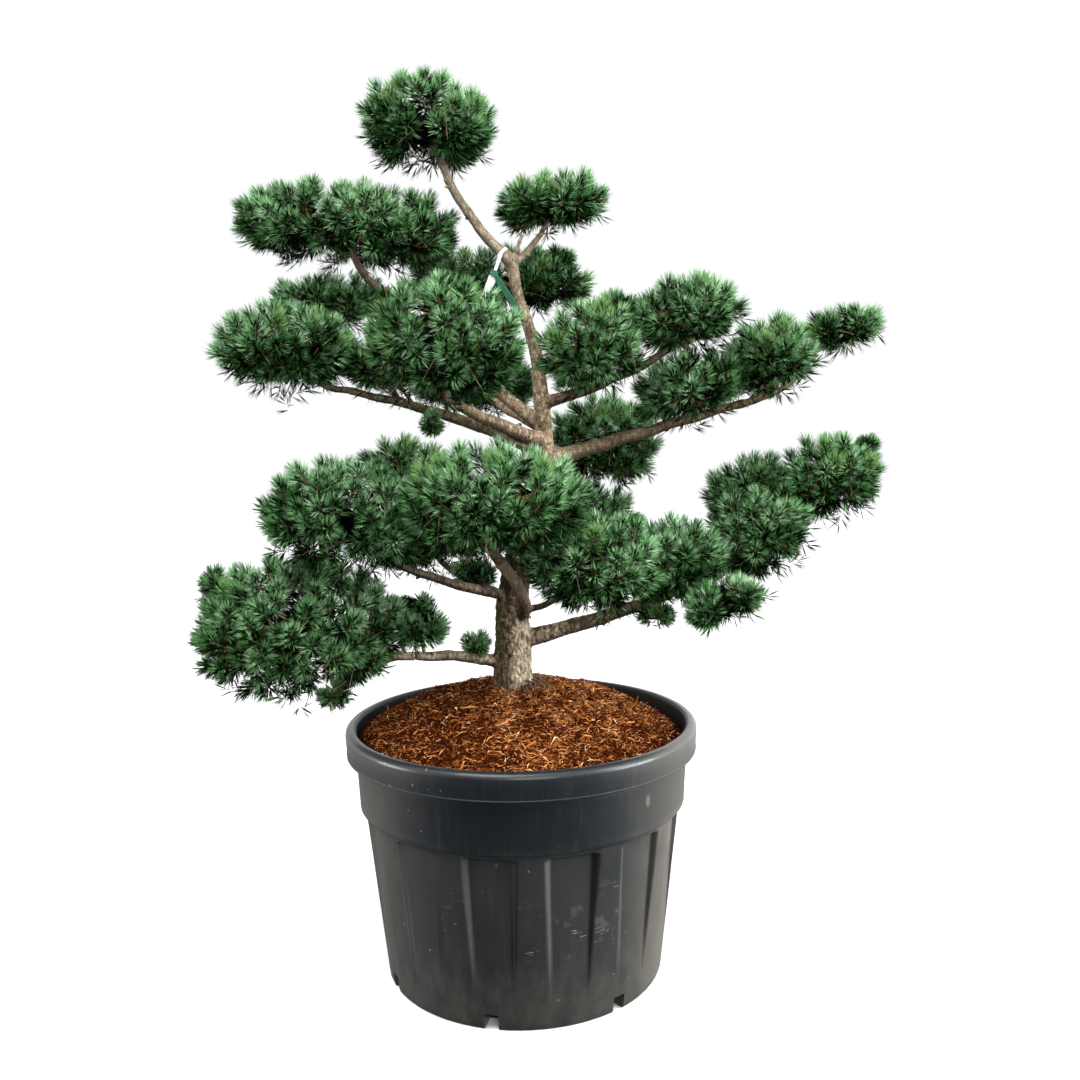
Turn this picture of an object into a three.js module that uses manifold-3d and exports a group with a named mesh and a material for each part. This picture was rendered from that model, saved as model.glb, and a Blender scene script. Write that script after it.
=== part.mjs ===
// A cloud-pruned garden pine in a large ribbed nursery container.
// Millimetres, +Z up. The origin is the centre of the container's underside, +X runs to the
// right and +Y away from a viewer at the front. A short crooked trunk carries boughs that end
// in clipped pads of needles, and every pad and bough is a solid of its own.

import * as THREE from "three";
import { mergeVertices } from "three/addons/utils/BufferGeometryUtils.js";
import Module from "manifold-3d";

const wasm = await Module();
wasm.setup();

// Container: a tapering body with tall recessed panels, a plain shoulder and a rolled rim.
const CONTAINER_HEIGHT = 550;
const RIM_RADIUS = 400;
const RIM_LIP = 25;
const LIP_ROUNDING = 10;
const RIM_DEPTH = 56;
const RIM_SLOPE = 4;
const RIM_ROUNDING = [[3, 56], [0, 16], [8, 3], [17, 0]];
const SHOULDER_TOP_RADIUS = 376;
const SHOULDER_FOOT_RADIUS = 369;
const SHOULDER_FOOT = 378;
const SHOULDER_UNDERCUT = 6;
const BODY_TOP_RADIUS = 358;
const BASE_RADIUS = 309;
const BASE_CHAMFER = 8;
const FLOOR_THICKNESS = 42;
const WALL = 6;
const PANEL_COUNT = 13;
const PANEL_ANGLE = THREE.MathUtils.degToRad(15);
const PANEL_DRAFT = THREE.MathUtils.degToRad(10.5);
const PANEL_DEPTH = 12;
const PANEL_FOOT = 70;
const PANEL_TOP = SHOULDER_FOOT - 14;
const PANEL_TURN = THREE.MathUtils.degToRad(-100.2);
const NOTCH_COUNT = 7;
const NOTCH_TURN = THREE.MathUtils.degToRad(-102);
const NOTCH_WIDTH = 30;
const NOTCH_HEIGHT = 34;
const NOTCH_REACH = 46;
const ROUND_SEGMENTS = 40;

// Potting soil: a mound of bark mulch that is highest at the trunk.
const SOIL_EDGE = 524;
const SOIL_CROWN = 628;
const SOIL_FLAT_RADIUS = 96;
const SOIL_SHOULDER_RADIUS = 230;
const SOIL_SHOULDER = 594;

// Clearance between neighbouring solids that touch on the real plant.
const CLEAR = 0.35;

// Trunk: its route from the mulch to the fork, and its taper.
const TRUNK_ROUTE = [
  [-18, 0, SOIL_CROWN + CLEAR],
  [-16, -2, 730],
  [-14, 0, 830],
  [16, 8, 990],
  [60, 4, 1150],
  [58, 0, 1290],
  [46, 2, 1400],
  [10, 2, 1520],
  [-6, 0, 1612],
];
const TRUNK_BURIED = 10;
const TRUNK_FOOT_RADIUS = 43;
const TRUNK_TOP_RADIUS = 13.5;
const TRUNK_STOUT_FOOT = 2;
const TRUNK_TAPER = 3.6;
const FLARE_RADIUS = 4;
const FLARE_REACH = 0.07;
const ROOT_RIDGES = 5;
const ROOT_RIDGE_DEPTH = 0.8;
const TRUNK_STEPS = 16;
const TRUNK_SIDES = 10;

const LIMB_STEPS = 6;
const LIMB_SIDES = 5;
const COLLAR_SWELL = 0.35;
const COLLAR_REACH = 0.12;

// Limbs. Each leaves its parent's middle line a share "at" of the way up it, ends at "tip",
// and bows by "bow" at its middle. "root" and "end" are its radii.
const LIMBS = [
  { name: "bough_low_left", parent: "trunk", at: 0.06, tip: [-235, -75, 712],
    bow: [0, 0, 8], root: 15, end: 10 },
  { name: "bough_low_right", parent: "trunk", at: 0.12, tip: [560, 40, 905],
    bow: [0, -20, -12], root: 19, end: 9 },
  { name: "branch_low_right_near", parent: "bough_low_right", at: 0.5, tip: [335, -30, 850],
    bow: [0, 0, 8], root: 9, end: 7 },
  { name: "branch_low_right_far", parent: "bough_low_right", at: 0.82, tip: [660, 80, 985],
    bow: [0, 0, -10], root: 9, end: 7 },
  { name: "bough_low_front", parent: "trunk", at: 0.2, tip: [-36, -172, 932],
    bow: [41, 8, -32], root: 15, end: 12.5 },
  { name: "bough_low_front_left", parent: "trunk", at: 0.25, tip: [-255, -150, 925],
    bow: [0, 0, -8], root: 13, end: 8 },
  { name: "bough_low_front_right", parent: "trunk", at: 0.21, tip: [135, -150, 872],
    bow: [0, 0, -10], root: 9, end: 6 },
  { name: "bough_low_back", parent: "trunk", at: 0.29, tip: [80, 195, 890],
    bow: [0, 0, 10], root: 13, end: 9 },
  { name: "bough_low_back_left", parent: "trunk", at: 0.24, tip: [-185, 185, 880],
    bow: [0, 0, -4], root: 12, end: 8 },
  { name: "bough_mid_left_front", parent: "trunk", at: 0.53, tip: [-135, -175, 1276],
    bow: [0, 0, -4], root: 17, end: 11 },
  { name: "bough_mid_left", parent: "trunk", at: 0.51, tip: [-400, -65, 1312], bow: [0, -30, 16],
    root: 16, end: 8 },
  { name: "branch_mid_left_back", parent: "bough_mid_left", at: 0.7, tip: [-400, 75, 1450],
    bow: [10, 10, 0], root: 8, end: 6 },
  { name: "bough_upper_left", parent: "trunk", at: 0.56, tip: [-352, 80, 1585], bow: [-14, 60, 0],
    root: 15, end: 10 },
  { name: "bough_mid_right_upper", parent: "trunk", at: 0.61, tip: [385, -60, 1410],
    bow: [0, -12, -18], root: 13, end: 8 },
  { name: "branch_mid_right_near", parent: "bough_mid_right_upper", at: 0.4, tip: [190, -85, 1335],
    bow: [0, 0, 0], root: 7, end: 6 },
  { name: "bough_mid_right_lower", parent: "trunk", at: 0.49, tip: [548, 20, 1272],
    bow: [0, 0, 0], root: 18, end: 9 },
  { name: "branch_right_lower_near", parent: "bough_mid_right_lower", at: 0.66,
    tip: [402, 0, 1262], bow: [0, 0, 0], root: 7, end: 6 },
  { name: "branch_right_lower_far", parent: "bough_mid_right_lower", at: 0.93,
    tip: [705, 55, 1385], bow: [20, 0, -20], root: 8, end: 6 },
  { name: "bough_mid_back", parent: "trunk", at: 0.52, tip: [170, 190, 1150], bow: [0, 0, -8],
    root: 13, end: 9 },
  { name: "bough_mid_back_left", parent: "trunk", at: 0.56, tip: [-60, 190, 1285],
    bow: [0, 0, -4], root: 15, end: 9 },
  { name: "bough_upper_back", parent: "trunk", at: 0.78, tip: [12, 120, 1520], bow: [0, 0, -6],
    root: 9, end: 7 },
  { name: "bough_low_upper_left", parent: "trunk", at: 0.36, tip: [-205, -50, 1062],
    bow: [0, 0, -6], root: 10, end: 7 },
  { name: "branch_low_right_upper", parent: "bough_low_right", at: 0.72, tip: [560, 112, 1022],
    bow: [16, 18, -10], root: 8, end: 6 },
  { name: "branch_fork", parent: "trunk", at: 0.955, tip: [22, 4, 1662], bow: [-3, 0, -4],
    root: 5.5, end: 4.5 },
  { name: "leader_left", parent: "trunk", at: 0.985, tip: [-168, 0, 1848],
    bow: [-15, 0, -12], root: 12.5, end: 9.5 },
  { name: "leader_right", parent: "trunk", at: 0.975, tip: [66, 4, 1668], bow: [2, 0, -6],
    root: 9, end: 6.5 },
];

// Foliage pads. Each fills an ellipsoid of the half sizes "half" round "centre", raised by
// "rise" degrees at its right end, and its stem grows on from the tip of its limb.
const PADS = [
  { name: "foliage_top", limb: "leader_left", centre: [-184, 0, 1926], half: [168, 142, 126],
    rise: -4, seed: 11 },
  { name: "foliage_upper_right", limb: "leader_right", centre: [86, 10, 1746],
    half: [146, 115, 82], rise: 6, seed: 12 },
  { name: "foliage_upper_back", limb: "bough_upper_back", centre: [-42, 205, 1588],
    half: [234, 125, 96], rise: -2, seed: 13 },
  { name: "foliage_upper_left", limb: "bough_upper_left", centre: [-384, 62, 1702],
    half: [274, 190, 116], rise: -6, seed: 14 },
  { name: "foliage_mid_left_front", limb: "bough_mid_left_front", centre: [-143, -240, 1402],
    half: [186, 165, 150], rise: -10, seed: 15 },
  { name: "foliage_mid_left", limb: "bough_mid_left", centre: [-508, -70, 1412],
    half: [174, 160, 116], rise: -4, seed: 16 },
  { name: "foliage_mid_left_back", limb: "branch_mid_left_back", centre: [-446, 120, 1535],
    half: [152, 120, 80], rise: 0, seed: 17 },
  { name: "foliage_mid_right_near", limb: "branch_mid_right_near", centre: [172, -115, 1395],
    half: [134, 112, 112], rise: 10, seed: 18 },
  { name: "foliage_mid_right", limb: "bough_mid_right_upper", centre: [386, -70, 1474],
    half: [144, 130, 98], rise: 12, seed: 19 },
  { name: "foliage_right_lower_near", limb: "branch_right_lower_near", centre: [402, 5, 1314],
    half: [150, 122, 100], rise: 14, seed: 20 },
  { name: "foliage_right_lower", limb: "bough_mid_right_lower", centre: [602, 35, 1380],
    half: [124, 115, 102], rise: 16, seed: 21 },
  { name: "foliage_right_lower_far", limb: "branch_right_lower_far", centre: [772, 60, 1446],
    half: [110, 95, 62], rise: 12, seed: 22 },
  { name: "foliage_mid_back", limb: "bough_mid_back", centre: [212, 300, 1180],
    half: [160, 140, 130], rise: 0, seed: 23 },
  { name: "foliage_mid_back_left", limb: "bough_mid_back_left", centre: [-120, 325, 1348],
    half: [185, 135, 105], rise: -4, seed: 34 },
  { name: "foliage_low_front", limb: "bough_low_front", centre: [-40, -280, 1072],
    half: [198, 178, 140], rise: 0, seed: 24 },
  { name: "foliage_low_front_left", limb: "bough_low_front_left", centre: [-362, -185, 1040],
    half: [206, 168, 136], rise: -10, seed: 25 },
  { name: "foliage_low_front_right", limb: "bough_low_front_right", centre: [166, -215, 940],
    half: [158, 118, 120], rise: -8, seed: 26 },
  { name: "foliage_low_back", limb: "bough_low_back", centre: [120, 310, 966],
    half: [198, 147, 138], rise: 0, seed: 27 },
  { name: "foliage_low_back_left", limb: "bough_low_back_left", centre: [-222, 285, 952],
    half: [172, 150, 114], rise: 4, seed: 33 },
  { name: "foliage_low_right_near", limb: "branch_low_right_near", centre: [360, -22, 912],
    half: [136, 130, 118], rise: 8, seed: 28 },
  { name: "foliage_low_right", limb: "bough_low_right", centre: [564, 36, 970],
    half: [139, 125, 118], rise: 20, seed: 29 },
  { name: "foliage_low_right_far", limb: "branch_low_right_far", centre: [738, 90, 1090],
    half: [142, 120, 112], rise: 12, seed: 30 },
  { name: "foliage_low_left", limb: "bough_low_left", centre: [-496, -90, 783],
    half: [246, 200, 172], rise: -3, seed: 31 },
  { name: "foliage_trunk_shoot", limb: "bough_low_left", at: 0.22, centre: [-100, -32, 732],
    half: [36, 34, 36], rise: 0, seed: 32 },
  { name: "foliage_low_left_inner", limb: "bough_low_left", at: 0.9,
    centre: [-222, -75, 786], half: [74, 76, 54], rise: 0, seed: 39 },
  { name: "foliage_low_upper_left", limb: "bough_low_upper_left", centre: [-252, -45, 1134],
    half: [112, 104, 84], rise: -4, seed: 35 },
  { name: "foliage_low_right_upper", limb: "branch_low_right_upper", centre: [548, 115, 1078],
    half: [122, 100, 84], rise: 20, seed: 36 },
  { name: "foliage_low_right_under", limb: "bough_low_right", at: 0.8, centre: [446, -150, 842],
    half: [112, 84, 60], rise: 14, seed: 37 },
  { name: "foliage_mid_left_inner", limb: "bough_mid_left", at: 0.62, centre: [-300, -50, 1378],
    half: [104, 100, 82], rise: -6, seed: 38 },
];

// Growth rule of a pad: a stem, arms that leave it, a core and the sprays that stand out of it.
const SPRAY_LENGTH = 98;
const SPRAY_SPREAD = 0.56;
const SPRAY_WAIST = 0.27;
const SPRAY_NEEDLES = 3;
const NEEDLE_ALONG = 0.8;
const WAIST_ALONG = 0.5;
const SPRAY_SPACING = 137;
const SPRAY_LEAST_REACH = 0.92;
const SPRAY_LEAST_LENGTH = 0.9;
const SPRAY_MOST_LENGTH = 1.1;
const SPRAY_TURN_SPREAD = 0.5;
const FEWEST_SPRAYS = 4;
const LOWEST_SPRAY = THREE.MathUtils.degToRad(138);
const GOLDEN_ANGLE = Math.PI * (3 - Math.sqrt(5));
const UPWARD = 0.35;
const CORE_INSET = 50;
const CORE_LEAST = 0.55;
const CORE_SIDES = 7;
const CORE_UNEVEN = 0.12;
const CORE_PROFILE = [[0, -0.72], [0.7, -0.6], [1, 0.05], [0.66, 0.76], [0, 1]];
const ARM_COUNT = 2;
const ARM_REACH = 0.48;
const ARM_REACH_SPREAD = 0.15;
const ARM_TURN_SPREAD = 0.6;
const ARM_RADIUS = 4.5;
const ARM_SWELL = 1.3;
const FIRST_ARM = 0.35;
const ARMS_ALONG = 0.5;
const STEM_TOP = -0.05;
const STEM_TAPER = 0.4;
const STEM_BEND = 0.45;
const STEM_STEPS = 3;
const STEM_SIDES = 5;
const TWIG_SIDES = 3;

// How far a spray keeps from other pads, as a share of their size, and from limbs.
const PAD_MARGIN = 1.05;
const LIMB_MARGIN = 4;
const CURVE_SAMPLES = 24;

// Nursery tag: a plain plastic label whose strap loops round the left leader, and a ribbon that
// is knotted to it and runs down to the trunk.
const TAG_LENGTH = 62;
const TAG_WIDTH = 18;
const TAG_THICKNESS = 1.2;
const TAG_LEAN = THREE.MathUtils.degToRad(20.7);
const STRAP_LENGTH = 48;
const STRAP_WIDTH = 7;
const LOOP_AT = 0.1;
const LOOP_SIDES = 10;
const KNOT_RADIUS = 9;
const KNOT_DEPTH = 0.35;
const RIBBON_WIDTH = 11;
const RIBBON_END = [16, -8, 1476];

// A direction that no limb and no spray follows, to measure turns from.
const REFERENCE = [0.31, 0.87, 0.38];
const SPRAY_REFERENCE = [0.2, 0.9, 0.4];

// Numbers between 0 and 1 that are the same on every run.
function seeded(seed) {
  let state = seed * 7919 + 17;
  return () => {
    state = (Math.imul(state, 1664525) + 1013904223) >>> 0;
    return state / 4294967296;
  };
}

function vec(triple) {
  return new THREE.Vector3(triple[0], triple[1], triple[2]);
}

// A closed solid from a list of points and the triangles that join them.
function solidOf(points, triangles) {
  const vertProperties = new Float32Array(points.flatMap((p) => [p.x, p.y, p.z]));
  const triVerts = new Uint32Array(triangles.flat());
  return new wasm.Manifold(new wasm.Mesh({ numProp: 3, vertProperties, triVerts }));
}

// A closed three.js geometry as a solid.
function solidOfGeometry(geometry) {
  geometry.deleteAttribute("normal");
  geometry.deleteAttribute("uv");
  const merged = mergeVertices(geometry, 1e-3);
  const corners = merged.index.array;
  const used = [];
  for (let i = 0; i < corners.length; i += 3) {
    const [a, b, c] = corners.subarray(i, i + 3);
    if (a !== b && b !== c && a !== c) used.push(a, b, c);
  }
  const vertProperties = merged.attributes.position.array;
  const triVerts = new Uint32Array(used);
  return new wasm.Manifold(new wasm.Mesh({ numProp: 3, vertProperties, triVerts }));
}

// The largest connected body of a solid: loose scraps and sealed hollows are dropped.
function largestBody(solid) {
  const bodies = solid.decompose();
  return bodies.reduce((best, body) => (body.volume() > best.volume() ? body : best));
}

// A named three.js mesh from a solid.
function meshOf(name, solid, material) {
  const made = solid.getMesh();
  const positions = new Float32Array(made.numVert * 3);
  for (let i = 0; i < made.numVert; i += 1) {
    positions.set(made.vertProperties.subarray(i * made.numProp, i * made.numProp + 3), i * 3);
  }
  const geometry = new THREE.BufferGeometry();
  geometry.setAttribute("position", new THREE.BufferAttribute(positions, 3));
  geometry.setIndex(new THREE.BufferAttribute(made.triVerts, 1));
  geometry.computeVertexNormals();
  const mesh = new THREE.Mesh(geometry, material);
  mesh.name = name;
  return mesh;
}

// A closed tube along a curve. radiusAt(share, angle) gives its radius.
function tube(curve, radiusAt, steps, sides) {
  const points = [];
  const triangles = [];
  const reference = vec(REFERENCE);
  for (let i = 0; i <= steps; i += 1) {
    const share = i / steps;
    const centre = curve.getPoint(share);
    const along = curve.getTangent(share);
    const across = new THREE.Vector3().crossVectors(reference, along).normalize();
    const up = new THREE.Vector3().crossVectors(along, across);
    for (let j = 0; j < sides; j += 1) {
      const angle = (j / sides) * 2 * Math.PI;
      const radius = radiusAt(share, angle);
      const out = across.clone().multiplyScalar(Math.cos(angle) * radius);
      out.addScaledVector(up, Math.sin(angle) * radius);
      points.push(centre.clone().add(out));
    }
  }
  for (let i = 0; i < steps; i += 1) {
    for (let j = 0; j < sides; j += 1) {
      const a = i * sides + j;
      const b = i * sides + ((j + 1) % sides);
      triangles.push([a, b, b + sides], [a, b + sides, a + sides]);
    }
  }
  const last = steps * sides;
  for (let j = 1; j < sides - 1; j += 1) {
    triangles.push([0, j + 1, j], [last, last + j, last + j + 1]);
  }
  return solidOf(points, triangles);
}

// Container

function bodyRadius(height) {
  return THREE.MathUtils.mapLinear(height, 0, SHOULDER_FOOT, BASE_RADIUS, BODY_TOP_RADIUS);
}

// Inner wall of the container as [radius, height] pairs, from the floor to the lip.
function innerProfile() {
  const bodyInset = PANEL_DEPTH + WALL;
  return [
    [bodyRadius(FLOOR_THICKNESS) - bodyInset, FLOOR_THICKNESS],
    [BODY_TOP_RADIUS - bodyInset, SHOULDER_FOOT],
    [RIM_RADIUS - RIM_LIP - RIM_SLOPE, CONTAINER_HEIGHT - RIM_DEPTH],
    [RIM_RADIUS - RIM_LIP, CONTAINER_HEIGHT - LIP_ROUNDING],
  ];
}

function lathed(profile) {
  const points = profile.map(([radius, height]) => new THREE.Vector2(radius, height));
  const geometry = new THREE.LatheGeometry(points, ROUND_SEGMENTS);
  geometry.rotateX(Math.PI / 2);
  return solidOfGeometry(geometry);
}

// Wedge between two heights, from "inner" radii out past the wall. "width" is its angle inside,
// and each of its sides leans out by "draft".
function wedge(angle, width, draft, low, high, innerLow, innerHigh, outer) {
  const points = [];
  for (const [height, inner] of [[low, innerLow], [high, innerHigh]]) {
    for (const [radius, side] of [[inner, -1], [outer, -1], [outer, 1], [inner, 1]]) {
      const half = width / 2 + (radius === outer ? draft : 0);
      const turned = angle + side * half;
      points.push(vec([radius * Math.cos(turned), radius * Math.sin(turned), height]));
    }
  }
  const sides = [0, 1, 2, 3].flatMap((i) => {
    const j = (i + 1) % 4;
    return [[i, j, j + 4], [i, j + 4, i + 4]];
  });
  return solidOf(points, [[0, 2, 1], [0, 3, 2], [4, 5, 6], [4, 6, 7], ...sides]);
}

function panelCutter(angle) {
  const foot = bodyRadius(PANEL_FOOT);
  const top = bodyRadius(PANEL_TOP) - PANEL_DEPTH;
  return wedge(angle, PANEL_ANGLE, PANEL_DRAFT, PANEL_FOOT, PANEL_TOP, foot, top, RIM_RADIUS);
}

function notchCutter(angle) {
  const geometry = new THREE.BoxGeometry(NOTCH_REACH * 2, NOTCH_WIDTH, NOTCH_HEIGHT * 2);
  geometry.translate(BASE_RADIUS, 0, 0);
  geometry.rotateZ(angle);
  return solidOfGeometry(geometry);
}

function makeContainer() {
  const outside = [
    [0, 0],
    [BASE_RADIUS - BASE_CHAMFER, 0],
    [bodyRadius(BASE_CHAMFER), BASE_CHAMFER],
    [BODY_TOP_RADIUS, SHOULDER_FOOT - SHOULDER_UNDERCUT],
    [SHOULDER_FOOT_RADIUS, SHOULDER_FOOT],
    [SHOULDER_TOP_RADIUS, CONTAINER_HEIGHT - RIM_DEPTH],
    ...RIM_ROUNDING.map(([inset, drop]) => [RIM_RADIUS - inset, CONTAINER_HEIGHT - drop]),
  ];
  const inside = innerProfile().reverse();
  const profile = [...outside, ...inside, [0, FLOOR_THICKNESS]];
  const cutters = [];
  for (let i = 0; i < PANEL_COUNT; i += 1) {
    cutters.push(panelCutter(PANEL_TURN + (i / PANEL_COUNT) * 2 * Math.PI));
  }
  for (let i = 0; i < NOTCH_COUNT; i += 1) {
    cutters.push(notchCutter(NOTCH_TURN + (i / NOTCH_COUNT) * 2 * Math.PI));
  }
  return lathed(profile).subtract(wasm.Manifold.union(cutters));
}

// Potting soil, standing clear of the container's inner wall, with a flat top for the trunk.
function makeSoil() {
  const wall = innerProfile().slice(0, 3).map(([radius, height]) => [radius - 2 * CLEAR, height]);
  const wallRadius = wall[2][0];
  wall[0][1] += CLEAR;
  return lathed([
    [0, FLOOR_THICKNESS + CLEAR],
    ...wall,
    [wallRadius, SOIL_EDGE],
    [SOIL_SHOULDER_RADIUS, SOIL_SHOULDER],
    [SOIL_FLAT_RADIUS, SOIL_CROWN],
    [0, SOIL_CROWN],
  ]);
}

// Trunk and limbs

const curves = new Map();
const radii = new Map();

function trunkRadius(share, angle) {
  const stout = (1 - share ** TRUNK_STOUT_FOOT) ** TRUNK_TAPER;
  const taper = THREE.MathUtils.lerp(TRUNK_TOP_RADIUS, TRUNK_FOOT_RADIUS, stout);
  const flare = FLARE_RADIUS * Math.exp(-share / FLARE_REACH);
  return taper + flare * (1 + ROOT_RIDGE_DEPTH * Math.cos(ROOT_RIDGES * angle));
}

function limbRadius(limb) {
  return (share) => {
    const taper = THREE.MathUtils.lerp(limb.root, limb.end, share);
    return taper * (1 + COLLAR_SWELL * Math.exp(-share / COLLAR_REACH));
  };
}

function limbCurve(limb) {
  const start = curves.get(limb.parent).getPoint(limb.at);
  const tip = vec(limb.tip);
  const middle = start.clone().lerp(tip, 0.5).addScaledVector(vec(limb.bow), 2);
  return new THREE.QuadraticBezierCurve3(start, middle, tip);
}

// A limb's solid, thicker by "extra" all round.
function limbSolid(name, extra) {
  const radiusAt = (share, angle) => radii.get(name)(share, angle) + extra;
  const isTrunk = name === "trunk";
  const steps = isTrunk ? TRUNK_STEPS : LIMB_STEPS;
  const sides = isTrunk ? TRUNK_SIDES : LIMB_SIDES;
  return tube(curves.get(name), radiusAt, steps, sides);
}

function makeTrunk() {
  const foot = SOIL_CROWN + CLEAR;
  return limbSolid("trunk", 0).trimByPlane([0, 0, 1], foot);
}

// A limb, cut clear of its parent and of the limbs that leave the same parent before it.
function makeLimb(limb) {
  const before = LIMBS.slice(0, LIMBS.indexOf(limb));
  const siblings = before.filter((other) => other.parent === limb.parent);
  const names = [limb.parent, ...siblings.map((other) => other.name)];
  const grown = wasm.Manifold.union(names.map((name) => limbSolid(name, CLEAR)));
  return largestBody(limbSolid(limb.name, 0).subtract(grown));
}

// Foliage pads

const VERTICAL_PLANE = new THREE.Vector3(0, -1, 0);

function turnedWithPad(pad, vector) {
  return vector.applyAxisAngle(VERTICAL_PLANE, THREE.MathUtils.degToRad(pad.rise));
}

// A point of a pad from its own axes, as shares of its half sizes.
function padPoint(pad, x, y, z) {
  const point = new THREE.Vector3(x * pad.half[0], y * pad.half[1], z * pad.half[2]);
  return turnedWithPad(pad, point).add(vec(pad.centre));
}

// How far out a point lies in a pad: 1 on its ellipsoid.
function padShare(pad, point) {
  const local = point.clone().sub(vec(pad.centre));
  local.applyAxisAngle(VERTICAL_PLANE, -THREE.MathUtils.degToRad(pad.rise));
  return local.divide(vec(pad.half)).length();
}

// How many sprays cover the dome of a pad at their usual spacing. The area of the ellipsoid is
// worked out from power means of its sections.
function sprayCount(pad) {
  const [a, b, c] = pad.half;
  const power = 1.6;
  const mean = ((a * b) ** power + (a * c) ** power + (b * c) ** power) / 3;
  const area = 4 * Math.PI * mean ** (1 / power);
  const dome = (area * (1 - Math.cos(LOWEST_SPRAY))) / 2;
  return Math.max(FEWEST_SPRAYS, Math.round(dome / SPRAY_SPACING ** 2));
}

// The tip, direction, length and turn of each spray of a pad, by the golden angle.
function spraysOf(pad) {
  const random = seeded(pad.seed);
  const count = sprayCount(pad);
  const longest = Math.min(SPRAY_LENGTH, Math.min(...pad.half));
  const sprays = [];
  for (let i = 0; i < count; i += 1) {
    const height = 1 - ((i + 0.5) / count) * (1 - Math.cos(LOWEST_SPRAY));
    const ring = Math.sqrt(1 - height * height);
    const angle = i * GOLDEN_ANGLE + (random() - 0.5) * SPRAY_TURN_SPREAD + pad.seed;
    const reach = THREE.MathUtils.lerp(SPRAY_LEAST_REACH, 1, random());
    const outward = new THREE.Vector3(ring * Math.cos(angle), ring * Math.sin(angle), height);
    const tip = padPoint(pad, outward.x * reach, outward.y * reach, outward.z * reach);
    const normal = outward.divide(vec(pad.half)).normalize();
    const direction = turnedWithPad(pad, normal).add(new THREE.Vector3(0, 0, UPWARD)).normalize();
    const share = THREE.MathUtils.lerp(SPRAY_LEAST_LENGTH, SPRAY_MOST_LENGTH, random());
    const length = longest * share;
    sprays.push({ tip, direction, length, turn: random() * 2 * Math.PI });
  }
  return sprays;
}

// A spray of needles: a slim core from its root, and needles that stand out round its tip.
function sprayPoints(pad, spray) {
  const { tip, direction, length, turn } = spray;
  const root = tip.clone().addScaledVector(direction, -length);
  const across = vec(SPRAY_REFERENCE).cross(direction).normalize();
  const points = [root, tip.clone()];
  for (let i = 0; i < SPRAY_NEEDLES * 2; i += 1) {
    const isNeedle = i % 2 === 1;
    const along = length * (isNeedle ? NEEDLE_ALONG : WAIST_ALONG);
    const out = length * (isNeedle ? SPRAY_SPREAD : SPRAY_WAIST);
    const turned = across.clone().applyAxisAngle(direction, turn + (i / SPRAY_NEEDLES) * Math.PI);
    const point = root.clone().addScaledVector(direction, along).addScaledVector(turned, out);
    const share = padShare(pad, point);
    if (share > 1) point.lerp(vec(pad.centre), 1 - 1 / share);
    points.push(point);
  }
  return points;
}

function spraySolid(points) {
  const ring = SPRAY_NEEDLES * 2;
  const triangles = [];
  for (let i = 0; i < ring; i += 2) {
    const waist = 2 + i;
    const needle = 3 + i;
    const next = 2 + ((i + 2) % ring);
    triangles.push([0, next, waist], [waist, next, needle], [1, waist, needle], [1, needle, next]);
  }
  return solidOf(points, triangles);
}

// True where a point lies in the space of a pad that comes before this one, or on a limb.
function isTaken(point, pad) {
  const before = PADS.slice(0, PADS.indexOf(pad));
  if (before.some((other) => padShare(other, point) < PAD_MARGIN)) return true;
  return [...curves.keys()].some((name) => {
    for (let i = 0; i <= CURVE_SAMPLES; i += 1) {
      const share = i / CURVE_SAMPLES;
      const away = curves.get(name).getPoint(share).distanceTo(point);
      if (away < radii.get(name)(share, 0) + LIMB_MARGIN) return true;
    }
    return false;
  });
}

// The dense middle of a pad, flat below, that the sprays stand out of.
function coreSolid(pad) {
  const random = seeded(pad.seed + 100);
  const shares = pad.half.map((half) => Math.max(CORE_LEAST, 1 - CORE_INSET / half));
  const points = CORE_PROFILE.map(([radius, height]) => new THREE.Vector2(radius, height));
  const geometry = new THREE.LatheGeometry(points, CORE_SIDES, pad.seed);
  geometry.rotateX(Math.PI / 2);
  geometry.deleteAttribute("normal");
  geometry.deleteAttribute("uv");
  const merged = mergeVertices(geometry, 1e-3);
  const position = merged.attributes.position;
  for (let i = 0; i < position.count; i += 1) {
    const uneven = 1 + CORE_UNEVEN * (2 * random() - 1);
    const x = position.getX(i) * shares[0] * uneven;
    const y = position.getY(i) * shares[1] * uneven;
    const z = position.getZ(i) * shares[2] * uneven;
    position.setXYZ(i, ...padPoint(pad, x, y, z).toArray());
  }
  return solidOfGeometry(merged);
}

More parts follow.
